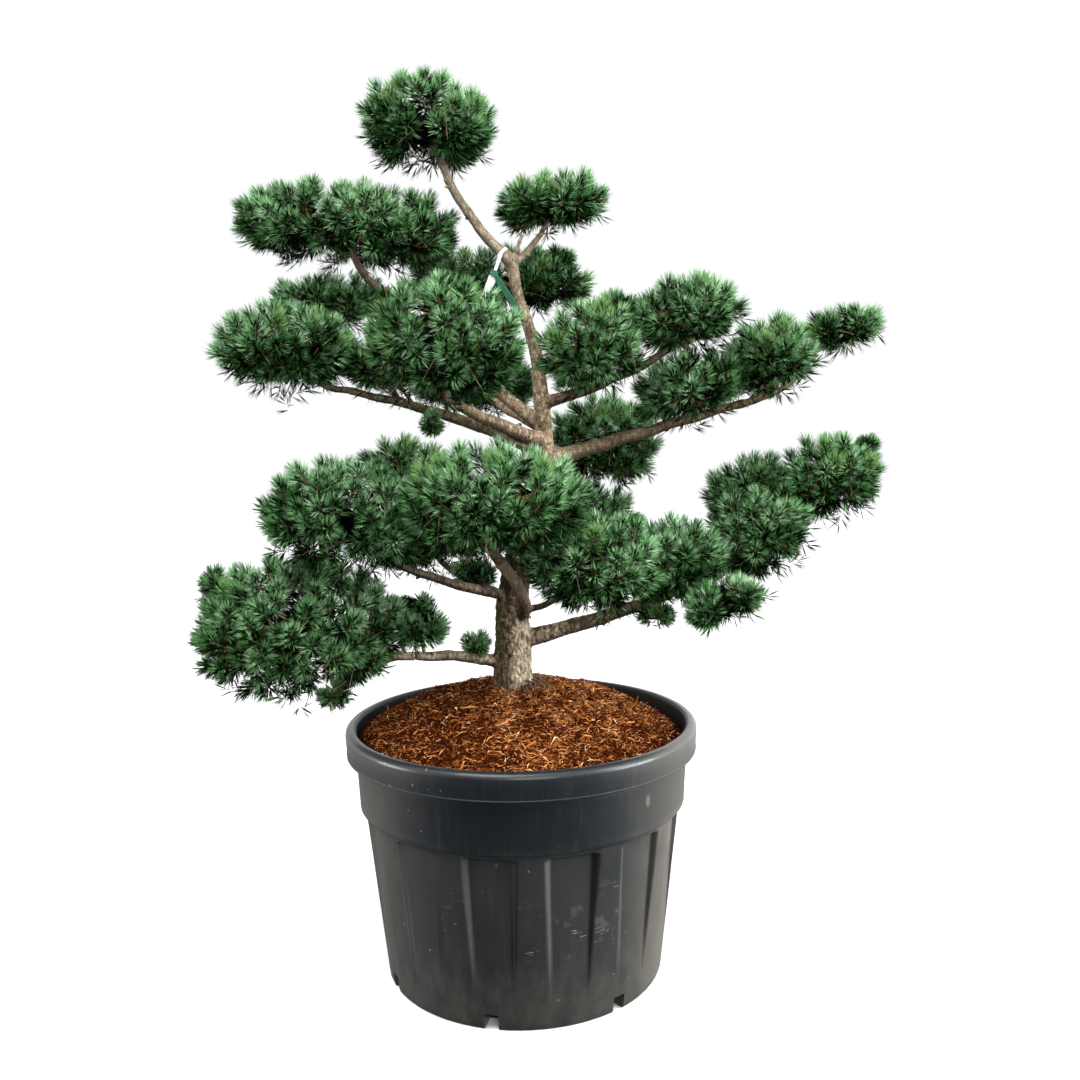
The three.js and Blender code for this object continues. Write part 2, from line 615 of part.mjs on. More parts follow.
// The stem of a pad and the arms that leave it. The stem grows on from its limb's tip, or, for
// a shoot on the side of a limb, out of the limb, which later cuts it clear.
function stemAndArms(pad) {
  const limb = curves.get(pad.limb);
  const at = pad.at ?? 1;
  const isOnTip = at === 1;
  const radius = isOnTip ? radii.get(pad.limb)(1, 0) : ARM_RADIUS;
  const top = padPoint(pad, 0, 0, STEM_TOP);
  const foot = limb.getPoint(at);
  const along = isOnTip ? limb.getTangent(1) : top.clone().sub(foot).normalize();
  if (isOnTip) foot.addScaledVector(along, CLEAR);
  const bend = foot.clone().addScaledVector(along, foot.distanceTo(top) * STEM_BEND);
  const stem = new THREE.QuadraticBezierCurve3(foot, bend, top);
  const thinning = (share) => radius * (1 - STEM_TAPER * share);
  const solids = [tube(stem, thinning, STEM_STEPS, STEM_SIDES)];
  if (!isOnTip) return solids;
  const random = seeded(pad.seed + 200);
  for (let i = 0; i < ARM_COUNT; i += 1) {
    const angle = ((i + ARM_TURN_SPREAD * random()) / ARM_COUNT) * 2 * Math.PI;
    const reach = ARM_REACH * (1 + ARM_REACH_SPREAD * (2 * random() - 1));
    const start = stem.getPoint(FIRST_ARM + (ARMS_ALONG * i) / ARM_COUNT);
    const end = padPoint(pad, Math.cos(angle) * reach, Math.sin(angle) * reach, 0);
    const taper = (share) => ARM_RADIUS * THREE.MathUtils.lerp(ARM_SWELL, 1, share);
    solids.push(tube(new THREE.LineCurve3(start, end), taper, 1, TWIG_SIDES));
  }
  return solids;
}

function makePad(pad) {
  const solids = [coreSolid(pad), ...stemAndArms(pad)];
  for (const spray of spraysOf(pad)) {
    const points = sprayPoints(pad, spray);
    if (!points.some((point) => isTaken(point, pad))) solids.push(spraySolid(points));
  }
  const near = [...curves.keys()].map((name) => limbSolid(name, CLEAR));
  return largestBody(wasm.Manifold.union(solids).subtract(wasm.Manifold.union(near)));
}

// Tag and its tie

// Where the strap leaves its loop, at the front of the left leader.
function strapTop() {
  const stand = radii.get("leader_left")(LOOP_AT, 0) + CLEAR + TAG_THICKNESS / 2;
  return curves.get("leader_left").getPoint(LOOP_AT).add(new THREE.Vector3(0, -stand, 0));
}

function makeTag() {
  const outline = new THREE.Shape();
  outline.moveTo(-STRAP_WIDTH / 2, 0);
  outline.lineTo(-STRAP_WIDTH / 2, -STRAP_LENGTH);
  outline.lineTo(-TAG_WIDTH / 2, -STRAP_LENGTH);
  outline.lineTo(-TAG_WIDTH / 2, -STRAP_LENGTH - TAG_LENGTH);
  outline.lineTo(TAG_WIDTH / 2, -STRAP_LENGTH - TAG_LENGTH);
  outline.lineTo(TAG_WIDTH / 2, -STRAP_LENGTH);
  outline.lineTo(STRAP_WIDTH / 2, -STRAP_LENGTH);
  outline.lineTo(STRAP_WIDTH / 2, 0);
  outline.closePath();
  const geometry = new THREE.ExtrudeGeometry(outline, { depth: TAG_THICKNESS, bevelEnabled: false });
  geometry.rotateX(Math.PI / 2);
  geometry.rotateY(TAG_LEAN);
  const top = strapTop();
  geometry.translate(top.x, top.y, top.z);
  const leader = curves.get("leader_left");
  const half = leader.getTangent(LOOP_AT).multiplyScalar(STRAP_WIDTH / 2);
  const centre = leader.getPoint(LOOP_AT);
  const line = new THREE.LineCurve3(centre.clone().sub(half), centre.clone().add(half));
  const radius = radii.get("leader_left")(LOOP_AT, 0) + CLEAR + TAG_THICKNESS;
  const tagged = tube(line, () => radius, 1, LOOP_SIDES).add(solidOfGeometry(geometry));
  const near = wasm.Manifold.union([limbSolid("leader_left", CLEAR), limbSolid("trunk", CLEAR)]);
  return largestBody(tagged.subtract(near).subtract(limbSolid("leader_right", CLEAR)));
}

function makeRibbon() {
  const down = new THREE.Vector3(-Math.sin(TAG_LEAN), 0, -Math.cos(TAG_LEAN));
  const centre = strapTop().addScaledVector(down, STRAP_LENGTH + KNOT_RADIUS);
  centre.y -= KNOT_RADIUS * KNOT_DEPTH + TAG_THICKNESS + CLEAR;
  const knot = new THREE.SphereGeometry(KNOT_RADIUS, 8, 6);
  knot.scale(1, KNOT_DEPTH, 1);
  knot.translate(centre.x, centre.y, centre.z);
  const end = vec(RIBBON_END);
  const length = centre.distanceTo(end);
  const band = new THREE.BoxGeometry(RIBBON_WIDTH, TAG_THICKNESS, length);
  const upward = centre.clone().sub(end).normalize();
  const turn = new THREE.Quaternion().setFromUnitVectors(new THREE.Vector3(0, 0, 1), upward);
  band.applyQuaternion(turn);
  const middle = centre.clone().lerp(end, 0.5);
  band.translate(middle.x, middle.y, middle.z);
  const whole = solidOfGeometry(knot).add(solidOfGeometry(band));
  return largestBody(whole.subtract(limbSolid("trunk", CLEAR)));
}

// Assembly

const plastic = new THREE.MeshStandardMaterial({ color: 0x33373a, roughness: 0.55, metalness: 0 });
const mulch = new THREE.MeshStandardMaterial({ color: 0x6d3a1c, roughness: 1, metalness: 0 });
const bark = new THREE.MeshStandardMaterial({ color: 0x8a7a66, roughness: 0.9, metalness: 0 });
const needles = new THREE.MeshStandardMaterial({ color: 0x2f6343, roughness: 0.7, metalness: 0 });
const label = new THREE.MeshStandardMaterial({ color: 0xe6e8ea, roughness: 0.5, metalness: 0 });
const ribbon = new THREE.MeshStandardMaterial({ color: 0x2f8a62, roughness: 0.6, metalness: 0 });

const pine = new THREE.Group();
pine.add(meshOf("container", makeContainer(), plastic));
pine.add(meshOf("potting_soil", makeSoil(), mulch));

const trunkPoints = TRUNK_ROUTE.map(vec);
trunkPoints[0].z -= TRUNK_BURIED;
curves.set("trunk", new THREE.CatmullRomCurve3(trunkPoints, false, "catmullrom", 0.5));
radii.set("trunk", trunkRadius);
for (const limb of LIMBS) {
  curves.set(limb.name, limbCurve(limb));
  radii.set(limb.name, limbRadius(limb));
}
pine.add(meshOf("trunk", makeTrunk(), bark));
for (const limb of LIMBS) {
  pine.add(meshOf(limb.name, makeLimb(limb), bark));
}
for (const pad of PADS) {
  pine.add(meshOf(pad.name, makePad(pad), needles));
}
pine.add(meshOf("tag", makeTag(), label));
pine.add(meshOf("tag_ribbon", makeRibbon(), ribbon));

export default pine;
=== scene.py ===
import math

import bpy
import numpy as np
from mathutils import Matrix, Vector, kdtree, noise


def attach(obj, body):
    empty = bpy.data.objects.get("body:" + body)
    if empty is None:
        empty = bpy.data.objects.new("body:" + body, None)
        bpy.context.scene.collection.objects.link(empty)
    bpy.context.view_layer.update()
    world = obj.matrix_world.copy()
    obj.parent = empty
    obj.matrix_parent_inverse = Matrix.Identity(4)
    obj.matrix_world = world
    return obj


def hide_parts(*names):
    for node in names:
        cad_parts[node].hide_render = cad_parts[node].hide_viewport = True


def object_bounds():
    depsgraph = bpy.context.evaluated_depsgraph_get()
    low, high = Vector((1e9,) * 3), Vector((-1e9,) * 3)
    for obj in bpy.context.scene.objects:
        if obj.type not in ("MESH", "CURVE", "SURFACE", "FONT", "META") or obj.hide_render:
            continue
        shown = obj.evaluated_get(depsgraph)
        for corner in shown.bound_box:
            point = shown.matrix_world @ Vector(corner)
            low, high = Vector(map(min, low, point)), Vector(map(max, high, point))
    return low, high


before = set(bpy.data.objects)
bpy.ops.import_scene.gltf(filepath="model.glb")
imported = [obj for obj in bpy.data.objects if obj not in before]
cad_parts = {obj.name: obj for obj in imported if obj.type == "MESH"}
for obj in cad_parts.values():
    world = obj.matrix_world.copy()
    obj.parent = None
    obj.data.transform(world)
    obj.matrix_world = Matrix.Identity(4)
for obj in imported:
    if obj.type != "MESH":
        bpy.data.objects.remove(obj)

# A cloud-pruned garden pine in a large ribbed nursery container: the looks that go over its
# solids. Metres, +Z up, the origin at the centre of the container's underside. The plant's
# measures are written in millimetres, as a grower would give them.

solid_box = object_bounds()

# Camera
# It stands level at eye height in front of the tree, turned by one degree, and its frame is
# shifted down so that the whole container shows.
CAMERA_PLACE = (0.055, -2.49, 1.235)
CAMERA_TURN = math.radians(-1)
HORIZON_SHIFT = -120 / 1080

view = bpy.data.cameras.new("camera")
view.sensor_width = 36
view.lens = 36
view.shift_y = HORIZON_SHIFT
camera = bpy.data.objects.new("camera", view)
level = Matrix.Rotation(math.pi / 2, 4, "X")
camera.matrix_world = Matrix.Translation(CAMERA_PLACE) @ level @ Matrix.Rotation(CAMERA_TURN, 4, "Z")
bpy.context.collection.objects.link(camera)
bpy.context.scene.camera = camera
bpy.context.scene.view_settings.view_transform = "Standard"


# Studio
# A plain pale floor under soft, sky-like light: bright from above and from both sides, most of
# all the right, and dim from the front. Five soft lamps help it: two in front, two at the right
# and one at the left.
class Field:
    """A number, colour or vector that a material's nodes work out for each point."""

    def __init__(self, socket):
        self.socket = socket
        self.tree = socket.id_data

    def maths(self, operation, first, second):
        return add_node(self.tree, "ShaderNodeMath", {"operation": operation}, {0: first, 1: second})

    def __add__(self, other):
        return self.maths("ADD", self, other)

    def __radd__(self, other):
        return self.maths("ADD", other, self)

    def __sub__(self, other):
        return self.maths("SUBTRACT", self, other)

    def __rsub__(self, other):
        return self.maths("SUBTRACT", other, self)

    def __mul__(self, other):
        return self.maths("MULTIPLY", self, other)

    def __rmul__(self, other):
        return self.maths("MULTIPLY", other, self)


def add_node(tree, kind, settings, sockets, output=0):
    """A new node: its settings first, then the values or links of its sockets."""
    made = tree.nodes.new(kind)
    for name, value in settings.items():
        setattr(made, name, value)
    for name, value in sockets.items():
        if isinstance(value, Field):
            tree.links.new(value.socket, made.inputs[name])
        else:
            made.inputs[name].default_value = value
    return Field(made.outputs[output])


def between(value, low, high):
    """0 below low, 1 above high and smooth between them."""
    sockets = {"Value": value, "From Min": low, "From Max": high}
    return add_node(value.tree, "ShaderNodeMapRange", {"interpolation_type": "SMOOTHSTEP"}, sockets)


def within(value, rise, fall):
    """1 between a smooth rise and a smooth fall, each given by its ends, and 0 beyond them."""
    return between(value, *rise) * (1 - between(value, *fall))


def blend(share, first, second):
    """One colour turning into another."""
    colours = [(*c, 1) if isinstance(c, tuple) else c for c in (first, second)]
    sockets = {0: share, 6: colours[0], 7: colours[1]}
    return add_node(share.tree, "ShaderNodeMix", {"data_type": "RGBA"}, sockets, 2)


def coated(colour, *coats):
    """A colour under coats, each of them a share and its own colour."""
    for share, tone in coats:
        colour = blend(share, colour, tone)
    return colour


def place_on(tree):
    """A place on the piece, in metres."""
    return add_node(tree, "ShaderNodeTexCoord", {}, {}, "Object")


def stretched(tree, scale):
    """A place on the piece with each axis scaled."""
    place = place_on(tree)
    return add_node(tree, "ShaderNodeVectorMath", {"operation": "MULTIPLY"}, {0: place, 1: scale})


def grain(tree, scale, detail=4, rough=0.5, stretch=(1, 1, 1)):
    """Cloudy noise from 0 to 1, its grains about one metre over scale wide."""
    sockets = {"Vector": stretched(tree, stretch), "Scale": scale, "Detail": detail, "Roughness": rough}
    return add_node(tree, "ShaderNodeTexNoise", {}, sockets)


def axis_value(vector, axis):
    return add_node(vector.tree, "ShaderNodeSeparateXYZ", {}, {0: vector}, axis)


def new_material(name, colour=None, **constants):
    """A material with its constants set, and the shader whose sockets can be fed."""
    material = bpy.data.materials.new(name)
    material.use_nodes = True
    shader = material.node_tree.nodes["Principled BSDF"]
    if colour:
        constants["Base_Color"] = (*colour, 1)
    for socket, value in constants.items():
        shader.inputs[socket.replace("_", " ")].default_value = value
    return material, shader


def feed(shader, socket, field):
    shader.id_data.links.new(field.socket, shader.inputs[socket])


def emboss(shader, height, distance, strength=1):
    """Fine relief for the light, where a height of one is as high as the distance."""
    sockets = {"Strength": strength, "Distance": distance, "Height": height}
    feed(shader, "Normal", add_node(height.tree, "ShaderNodeBump", {}, sockets))


def mesh_piece(name, points, faces, materials, tones=None, smooth=True):
    """An object from arrays of points and of faces with the same number of corners."""
    mesh = bpy.data.meshes.new(name)
    mesh.vertices.add(len(points))
    mesh.vertices.foreach_set("co", np.asarray(points, np.float32).ravel())
    mesh.loops.add(faces.size)
    mesh.polygons.add(len(faces))
    mesh.polygons.foreach_set("loop_start", np.arange(len(faces)) * faces.shape[1])
    mesh.loops.foreach_set("vertex_index", faces.ravel().astype(np.int32))
    for material in materials:
        mesh.materials.append(material)
    if tones is not None:
        mesh.polygons.foreach_set("material_index", np.asarray(tones, np.int32))
    mesh.polygons.foreach_set("use_smooth", np.full(len(faces), smooth))
    mesh.update(calc_edges=True)
    piece = bpy.data.objects.new(name, mesh)
    bpy.context.collection.objects.link(piece)
    return piece


FLOOR_SIZE = 30
SKY_TOP = 1.45
SKY_RIGHT = 1.75
SKY_LEFT = 1.0
SKY_FRONT = 0.16
SKY_BELOW = 0.24
BACKDROP = (0.985, 0.99, 1, 1)
BACKDROP_STRENGTH = 1.02
# Each lamp: its place, what it points at, its size and its power in watts.
LAMPS = {
    "high_lamp": ((-0.9, -1.7, 4.4), (0, 0, 1.1), 2.4, 170),
    "level_lamp": ((0.5, -3.9, 1.75), (0, 0, 1.0), 1.8, 70),
    "right_lamp": ((3.3, -1.1, 0.9), (0, 0, 0.5), 1.6, 170),
    "crown_lamp": ((3.0, -1.6, 2.6), (0.4, 0, 1.3), 1.4, 60),
    "left_lamp": ((-3.2, -0.5, 0.7), (0, 0, 0.3), 1.2, 70),
}

corner = FLOOR_SIZE / 2
floor_corners = [(-corner, -corner, 0), (corner, -corner, 0), (corner, corner, 0), (-corner, corner, 0)]
floor_white, _ = new_material("floor_white", (0.92, 0.92, 0.92), Roughness=0.9)
floor = mesh_piece("floor", floor_corners, np.array([[0, 1, 2, 3]]), [floor_white])
floor.visible_diffuse = False
floor.visible_glossy = False

world = bpy.data.worlds.new("sky")
bpy.context.scene.world = world
world.use_nodes = True
sky = world.node_tree
direction = add_node(sky, "ShaderNodeTexCoord", {}, {}, "Generated")
upward = axis_value(direction, 2)
frontward = between(0 - axis_value(direction, 1), 0.05, 0.8)
rightward = between(axis_value(direction, 0), -0.5, 0.5)
side_light = SKY_LEFT + (SKY_RIGHT - SKY_LEFT) * rightward
level_light = side_light * (1 - frontward) + SKY_FRONT * frontward
above = between(upward, 0.1, 0.8)
below = between(0 - upward, 0.0, 0.5)
dome = (level_light * (1 - above) + SKY_TOP * above) * (1 - (1 - SKY_BELOW) * below)
seen = add_node(sky, "ShaderNodeLightPath", {}, {}, "Is Camera Ray")
backdrop = sky.nodes["Background"]
backdrop.inputs["Color"].default_value = BACKDROP
feed(backdrop, "Strength", dome * (1 - seen) + BACKDROP_STRENGTH * seen)

for name, (place, aim, size, watts) in LAMPS.items():
    light = bpy.data.lights.new(name, "AREA")
    light.size = size
    light.energy = watts
    holder = bpy.data.objects.new(name, light)
    holder.location = place
    gaze = Vector(aim) - Vector(place)
    holder.rotation_euler = gaze.to_track_quat("-Z", "Y").to_euler()
    holder.visible_camera = False
    bpy.context.collection.objects.link(holder)


# Container
# A nursery container of injection-moulded black polypropylene: a tapering wall stiffened by 13
# recessed panels, a plain shoulder to stack on, a rolled rim to lift by and notches to drain.
def mm(*values):
    return np.array(values, float) * 0.001


CONTAINER_HEIGHT, RIM_RADIUS, RIM_DEPTH = mm(550, 400, 56)
BASE_RADIUS, BODY_TOP_RADIUS = mm(309, 358)
SHOULDER_FOOT, SHOULDER_FOOT_RADIUS, SHOULDER_TOP_RADIUS = mm(378, 369, 376)
RIM_INNER_RADIUS, RIM_INNER_FOOT_RADIUS = mm(375, 371)
FLOOR_TOP, WALL, FOOT_ROUND, RIM_ROUND, INNER_ROUND = mm(42, 18, 7, 13.5, 9)
PANEL_COUNT = 13
PANEL_TURN = math.radians(-100.3)
PANEL_FOOT, PANEL_TOP, PANEL_DEPTH = mm(62, 366, 12)
PANEL_STEP = 0.007
PANEL_HALF, PANEL_DRAFT, PANEL_EDGE = (math.radians(turn) for turn in (7.3, 2.2, 0.4))
NOTCH_COUNT = 7
NOTCH_TURN = math.radians(-102)
NOTCH_SIZE = mm(92, 30, 68)
DAB = mm(264, 446)


def arc(centre, radius, start, stop, count):
    """Profile points on an arc, as radius and height, between two angles in degrees."""
    angles = np.radians(np.linspace(start, stop, count))
    return [(centre[0] + radius * math.cos(a), centre[1] + radius * math.sin(a)) for a in angles]


def body_radius(height):
    return BASE_RADIUS + (BODY_TOP_RADIUS - BASE_RADIUS) * height / SHOULDER_FOOT


def container_profile():
    """The container's section from the middle of its underside to the middle of its floor."""
    low_wall = np.linspace(0.008, PANEL_TOP - 0.014, 40)
    high_wall = np.linspace(PANEL_TOP - 0.012, PANEL_TOP + 0.004, 9)
    edge, top, under = RIM_RADIUS, CONTAINER_HEIGHT, CONTAINER_HEIGHT - RIM_DEPTH
    return [
        (0, 0), (0.1, 0), (0.2, 0), (0.28, 0),
        *arc((BASE_RADIUS - FOOT_ROUND, FOOT_ROUND), FOOT_ROUND, -90, -10, 5),
        *[(body_radius(z), z) for z in (*low_wall, *high_wall)],
        (BODY_TOP_RADIUS, SHOULDER_FOOT - 0.005),
        (BODY_TOP_RADIUS + 0.002, SHOULDER_FOOT - 0.002),
        *arc((SHOULDER_FOOT_RADIUS - 0.003, SHOULDER_FOOT + 0.002), 0.003, -80, 0, 4),
        *[(SHOULDER_FOOT_RADIUS + s * 0.0075, SHOULDER_FOOT + 0.01 + s * 0.1)
          for s in np.linspace(0, 1, 8)],
        (SHOULDER_TOP_RADIUS, under - 0.003), (SHOULDER_TOP_RADIUS + 0.004, under),
        (edge - 0.006, under), (edge - 0.0022, under - 0.0012), (edge - 0.0018, under + 0.0012),
        (edge - 0.0030, under + 0.0030), (edge - 0.0016, top - 0.034),
        *arc((edge - RIM_ROUND, top - RIM_ROUND), RIM_ROUND, 0, 90, 9),
        *arc((RIM_INNER_RADIUS + INNER_ROUND, top - INNER_ROUND), INNER_ROUND, 100, 175, 6),
        (RIM_INNER_FOOT_RADIUS, under),
        (BODY_TOP_RADIUS - WALL, SHOULDER_FOOT),
        (body_radius(FLOOR_TOP) - WALL, FLOOR_TOP),
        (0, FLOOR_TOP),
    ]


def panel_columns():
    """Offsets from a panel's middle to the next panel's, as (angle, share of the draft, depth)."""
    pitch = 2 * math.pi / PANEL_COUNT
    half = [(0, 0, 1), (0.4 * PANEL_HALF, 0, 1), (0.8 * PANEL_HALF, 0, 1),
            (PANEL_HALF - PANEL_EDGE, 0, 1), (PANEL_HALF, 0, 0.97),
            (PANEL_HALF, 0.2, 0.85), (PANEL_HALF, 0.5, 0.5), (PANEL_HALF, 0.8, 0.15),
            (PANEL_HALF + PANEL_EDGE, 1, 0), (PANEL_HALF + 3 * PANEL_EDGE, 1, 0)]
    mirrored = [(pitch - angle, -draft, depth) for angle, draft, depth in reversed(half[1:])]
    return half + [(pitch / 2, 0, 0)] + mirrored


def panel_ramp(height):
    """How deep the panels are at a height: nothing at their foot, a short step at their top."""
    slope = (height - PANEL_FOOT) / (PANEL_TOP - PANEL_FOOT)
    step = (PANEL_TOP - height) / PANEL_STEP
    return PANEL_DEPTH * max(0.0, min(slope, 1.0, step))


def wrapped(rows, ring, closed=False):
    """The four-cornered faces between rings of points, from each ring to the next."""
    i, j = np.divmod(np.arange((rows if closed else rows - 1) * ring), ring)
    k, after = (j + 1) % ring, (i + 1) % rows * ring
    return np.stack([i * ring + j, i * ring + k, after + k, after + j], -1)


columns = panel_columns()
ring = PANEL_COUNT * len(columns)
points = []
for radius, height in container_profile()[1:-1]:
    outside = radius > body_radius(height) - 0.001 and height < PANEL_TOP
    depth = panel_ramp(height) if outside else 0.0
    for panel in range(PANEL_COUNT):
        for angle, draft, share in columns:
            widening = draft * PANEL_DRAFT * min(1.0, depth / PANEL_DEPTH)
            turned = PANEL_TURN + panel * 2 * math.pi / PANEL_COUNT + angle + widening
            wall = radius - depth * share
            points.append((wall * math.cos(turned), wall * math.sin(turned), height))
foot, top = len(points), len(points) + 1
last = foot - ring
faces = wrapped(foot // ring, ring).tolist()
faces += [(foot, (j + 1) % ring, j) for j in range(ring)]
faces += [(top, last + j, last + (j + 1) % ring) for j in range(ring)]
shell = bpy.data.meshes.new("container_shell")
shell.from_pydata(points + [(0, 0, 0), (0, 0, FLOOR_TOP)], [], faces)
container = bpy.data.objects.new("nursery_container", shell)
bpy.context.collection.objects.link(container)


def applied(piece):
    """The piece with its modifiers worked into its mesh."""
    bpy.context.view_layer.update()
    seen_by = bpy.context.evaluated_depsgraph_get()
    mesh = bpy.data.meshes.new_from_object(piece.evaluated_get(seen_by))
    piece.modifiers.clear()
    piece.data = mesh
    return mesh


# The cutter for the notches: a box across the foot of the wall for each of them.
corners = np.array([(x, y, z) for x in (-1, 1) for y in (-1, 1) for z in (-1, 1)]) * NOTCH_SIZE / 2
sides = np.array([(0, 1, 3, 2), (4, 6, 7, 5), (0, 4, 5, 1), (2, 3, 7, 6), (0, 2, 6, 4), (1, 5, 7, 3)])
boxes = []
for i in range(NOTCH_COUNT):
    turn = np.array(Matrix.Rotation(NOTCH_TURN + i * 2 * math.pi / NOTCH_COUNT, 3, "Z"))
    boxes.append((corners + (BASE_RADIUS, 0, 0)) @ turn.T)
faces = np.vstack([sides + i * len(corners) for i in range(NOTCH_COUNT)])
notches = mesh_piece("notches", np.vstack(boxes), faces, [], smooth=False)
cut = container.modifiers.new("notches", "BOOLEAN")
cut.object = notches
cut.operation = "DIFFERENCE"
cut.solver = "EXACT"
shell = applied(container)
bpy.data.objects.remove(notches)
shell.shade_smooth()
shell.set_sharp_from_angle(angle=math.radians(32))

plastic, shader = new_material("container_plastic", Specular_IOR_Level=0.3, Coat_Roughness=0.22)
tree = plastic.node_tree
place = place_on(tree)
height = axis_value(place, 2)
cloud = grain(tree, 5, 3)
dust = grain(tree, 30, 5, 0.65, (1, 1, 0.5))
speckle = grain(tree, 420, 2)
sooty, worn = (0.0036, 0.0055, 0.0080), (0.019, 0.0205, 0.0195)
on_body = 1 - between(height, 0.36, 0.40)
low_dirt = 1 - between(height, 0.03, 0.32)
sideways, frontways = axis_value(place, 0), axis_value(place, 1)
scuffed = between(grain(tree, 17, 2), 0.54, 0.63)
mid_wall = within(height, (0.13, 0.18), (0.27, 0.32))
knocked = within(sideways, (-0.04, 0.04), (0.17, 0.24)) * mid_wall
scratch = grain(tree, 1, 3, 0.6, (30, 30, 420))
scratches = between(scratch, 0.60, 0.67) * scuffed * (0.25 * mid_wall + knocked)
flecks = between(grain(tree, 75, 1), 0.745, 0.775) * between(cloud, 0.45, 0.6)
rubs = between(grain(tree, 26, 3, 0.6), 0.56, 0.70) * knocked
# Painted side light: both flanks of the container are painted lighter, less so at the rim's left.
rim_left = between(height, 0.49, 0.50) * between(0 - sideways, 0.10, 0.25)
painted_side_light = between(sideways * sideways, 0.03, 0.12) * (1 - 0.7 * rim_left)
streaks = grain(tree, 70, 3, 0.6, (1, 1, 0.07))
# Painted light on the right edge of the body: paler beige, broken up by noise.
right_edge_painted_light = between(sideways, 0.20, 0.33) * between(cloud + 0.4 * dust, 0.4, 0.9) * on_body
facing = add_node(tree, "ShaderNodeNewGeometry", {}, {}, "Normal")
outward = sideways * axis_value(facing, 0) + frontways * axis_value(facing, 1)
# Painted shade: the faces that look into the container are painted near black.
inside = between(0 - outward, 0.03, 0.16)
beside, over = (sideways - DAB[0]) * 1.3, (height - DAB[1]) * 0.5
from_dab = (beside * beside + over * over) * (0.3 + 1.8 * dust)
dab = (1 - between(from_dab, 0.00001, 0.00008)) * between(0 - frontways, 0, 0.1)

# Painted light and shade at the panels: each panel's left edge gets a painted highlight as a ridge, and
# its right edge painted shade as a dark groove.
turned = frontways.maths("ARCTAN2", frontways, sideways) - PANEL_TURN + 2 * math.pi
pitch = 2 * math.pi / PANEL_COUNT
from_middle = turned.maths("MODULO", turned + pitch / 2, pitch) - pitch / 2
low_share = 1 - between(height, PANEL_FOOT, PANEL_TOP)
edge_at = PANEL_HALF + PANEL_DRAFT * 0.5 - low_share * 0.02
on_panels = within(height, (PANEL_FOOT - 0.01, PANEL_FOOT + 0.12), (0.358, 0.368))
painted_ridge_highlight = 1 - between((from_middle + edge_at) * (from_middle + edge_at), 0.0, 0.0006)
painted_groove_shade = 1 - between((from_middle - edge_at) * (from_middle - edge_at), 0.0, 0.0008)

# Worn grey over soot black, then dust, scuffs, painted light on both sides, streaks, painted light at
# the body's right edge, painted highlights and shade at the panels' edges, painted shade on the inside
# and a tan dab of soil.
colour = coated(
    blend(between(cloud + on_body * 0.35, 0.45, 0.95), sooty, worn),
    (between(dust * 0.6 + low_dirt * 0.42, 0.50, 1.05) * 0.6, (0.085, 0.083, 0.068)),
    (scratches * 0.6 + flecks * 0.3 + rubs * 0.09, (0.33, 0.32, 0.30)),
    (painted_side_light * (0.55 + 0.45 * dust), (0.072, 0.071, 0.061)),
    (between(streaks, 0.52, 0.75) * 0.22, (0.040, 0.042, 0.040)),
    (right_edge_painted_light * 0.5, (0.155, 0.138, 0.112)),
    (painted_ridge_highlight * on_panels * 0.36, (0.105, 0.108, 0.105)),
    (painted_groove_shade * on_panels * 0.75, (0.003, 0.003, 0.004)),
    (inside * 0.9, (0.004, 0.004, 0.005)),
    (dab * 0.32, (0.30, 0.20, 0.11)),
)
on_rim = between(height, CONTAINER_HEIGHT - RIM_DEPTH, CONTAINER_HEIGHT - 0.02) * (1 - inside)
feed(shader, "Coat Weight", on_rim * (0.55 - 0.3 * streaks))
feed(shader, "Base Color", colour)
feed(shader, "Roughness", 0.36 + 0.16 * dust + 0.08 * speckle)
emboss(shader, speckle * 0.6 + dust, 0.0006, 0.25)
shell.materials.clear()
shell.materials.append(plastic)
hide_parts("container")
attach(container, "root")

# Potting mix and mulch
# Dark potting mix heaped up to the trunk, under a loose layer of shredded pine bark: thousands
# of flat, torn slivers from a few millimetres to a few centimetres long, raked out by hand.
SOIL_EDGE_RADIUS, SOIL_SHOULDER_RADIUS, SOIL_FLAT_RADIUS = mm(370, 230, 96)
SOIL_EDGE, SOIL_SHOULDER, SOIL_CROWN = mm(524, 594, 628)
SOIL_SINK, EDGE_TILT, CLEARANCE = mm(7, 11, 1)
EDGE_LOW_AT = math.radians(35)
LENGTH_SPREAD, SLIVER_TILT, SLIVER_SAG = 0.42, 0.30, 0.13
SLIVER_LENGTHS, SLIVER_WIDTHS, SLIVER_DEPTHS = mm(3, 40), (0.06, 0.20), (0.25, 0.6)

# Sections of a sliver, as shares of its length, width and sag, and the layers of slivers with
# their number, usual length and sections.
BENT = [(-0.5, 0.35, 0.0), (0.05, 1.0, 1.0), (0.5, 0.3, 0.0)]
STRAIGHT = [(-0.5, 0.8, 0.0), (0.5, 0.5, 0.0)]
SLIVERS = {
    "bark_mulch_shreds": (12000, 0.0125, BENT),
    "bark_mulch_crumbs": (20000, 0.0066, STRAIGHT),
}


def soil_height(x, y):
    """Top of the mulch: a mound that is a little lower at its back right edge."""
    radius = np.hypot(x, y)
    stations = [0, SOIL_FLAT_RADIUS, SOIL_SHOULDER_RADIUS, SOIL_EDGE_RADIUS]
    mound = np.interp(radius, stations, [SOIL_CROWN, SOIL_CROWN, SOIL_SHOULDER, SOIL_EDGE])
    tilt = EDGE_TILT * np.cos(np.arctan2(y, x) - EDGE_LOW_AT) * (radius / SOIL_EDGE_RADIUS) ** 3
    return mound - tilt


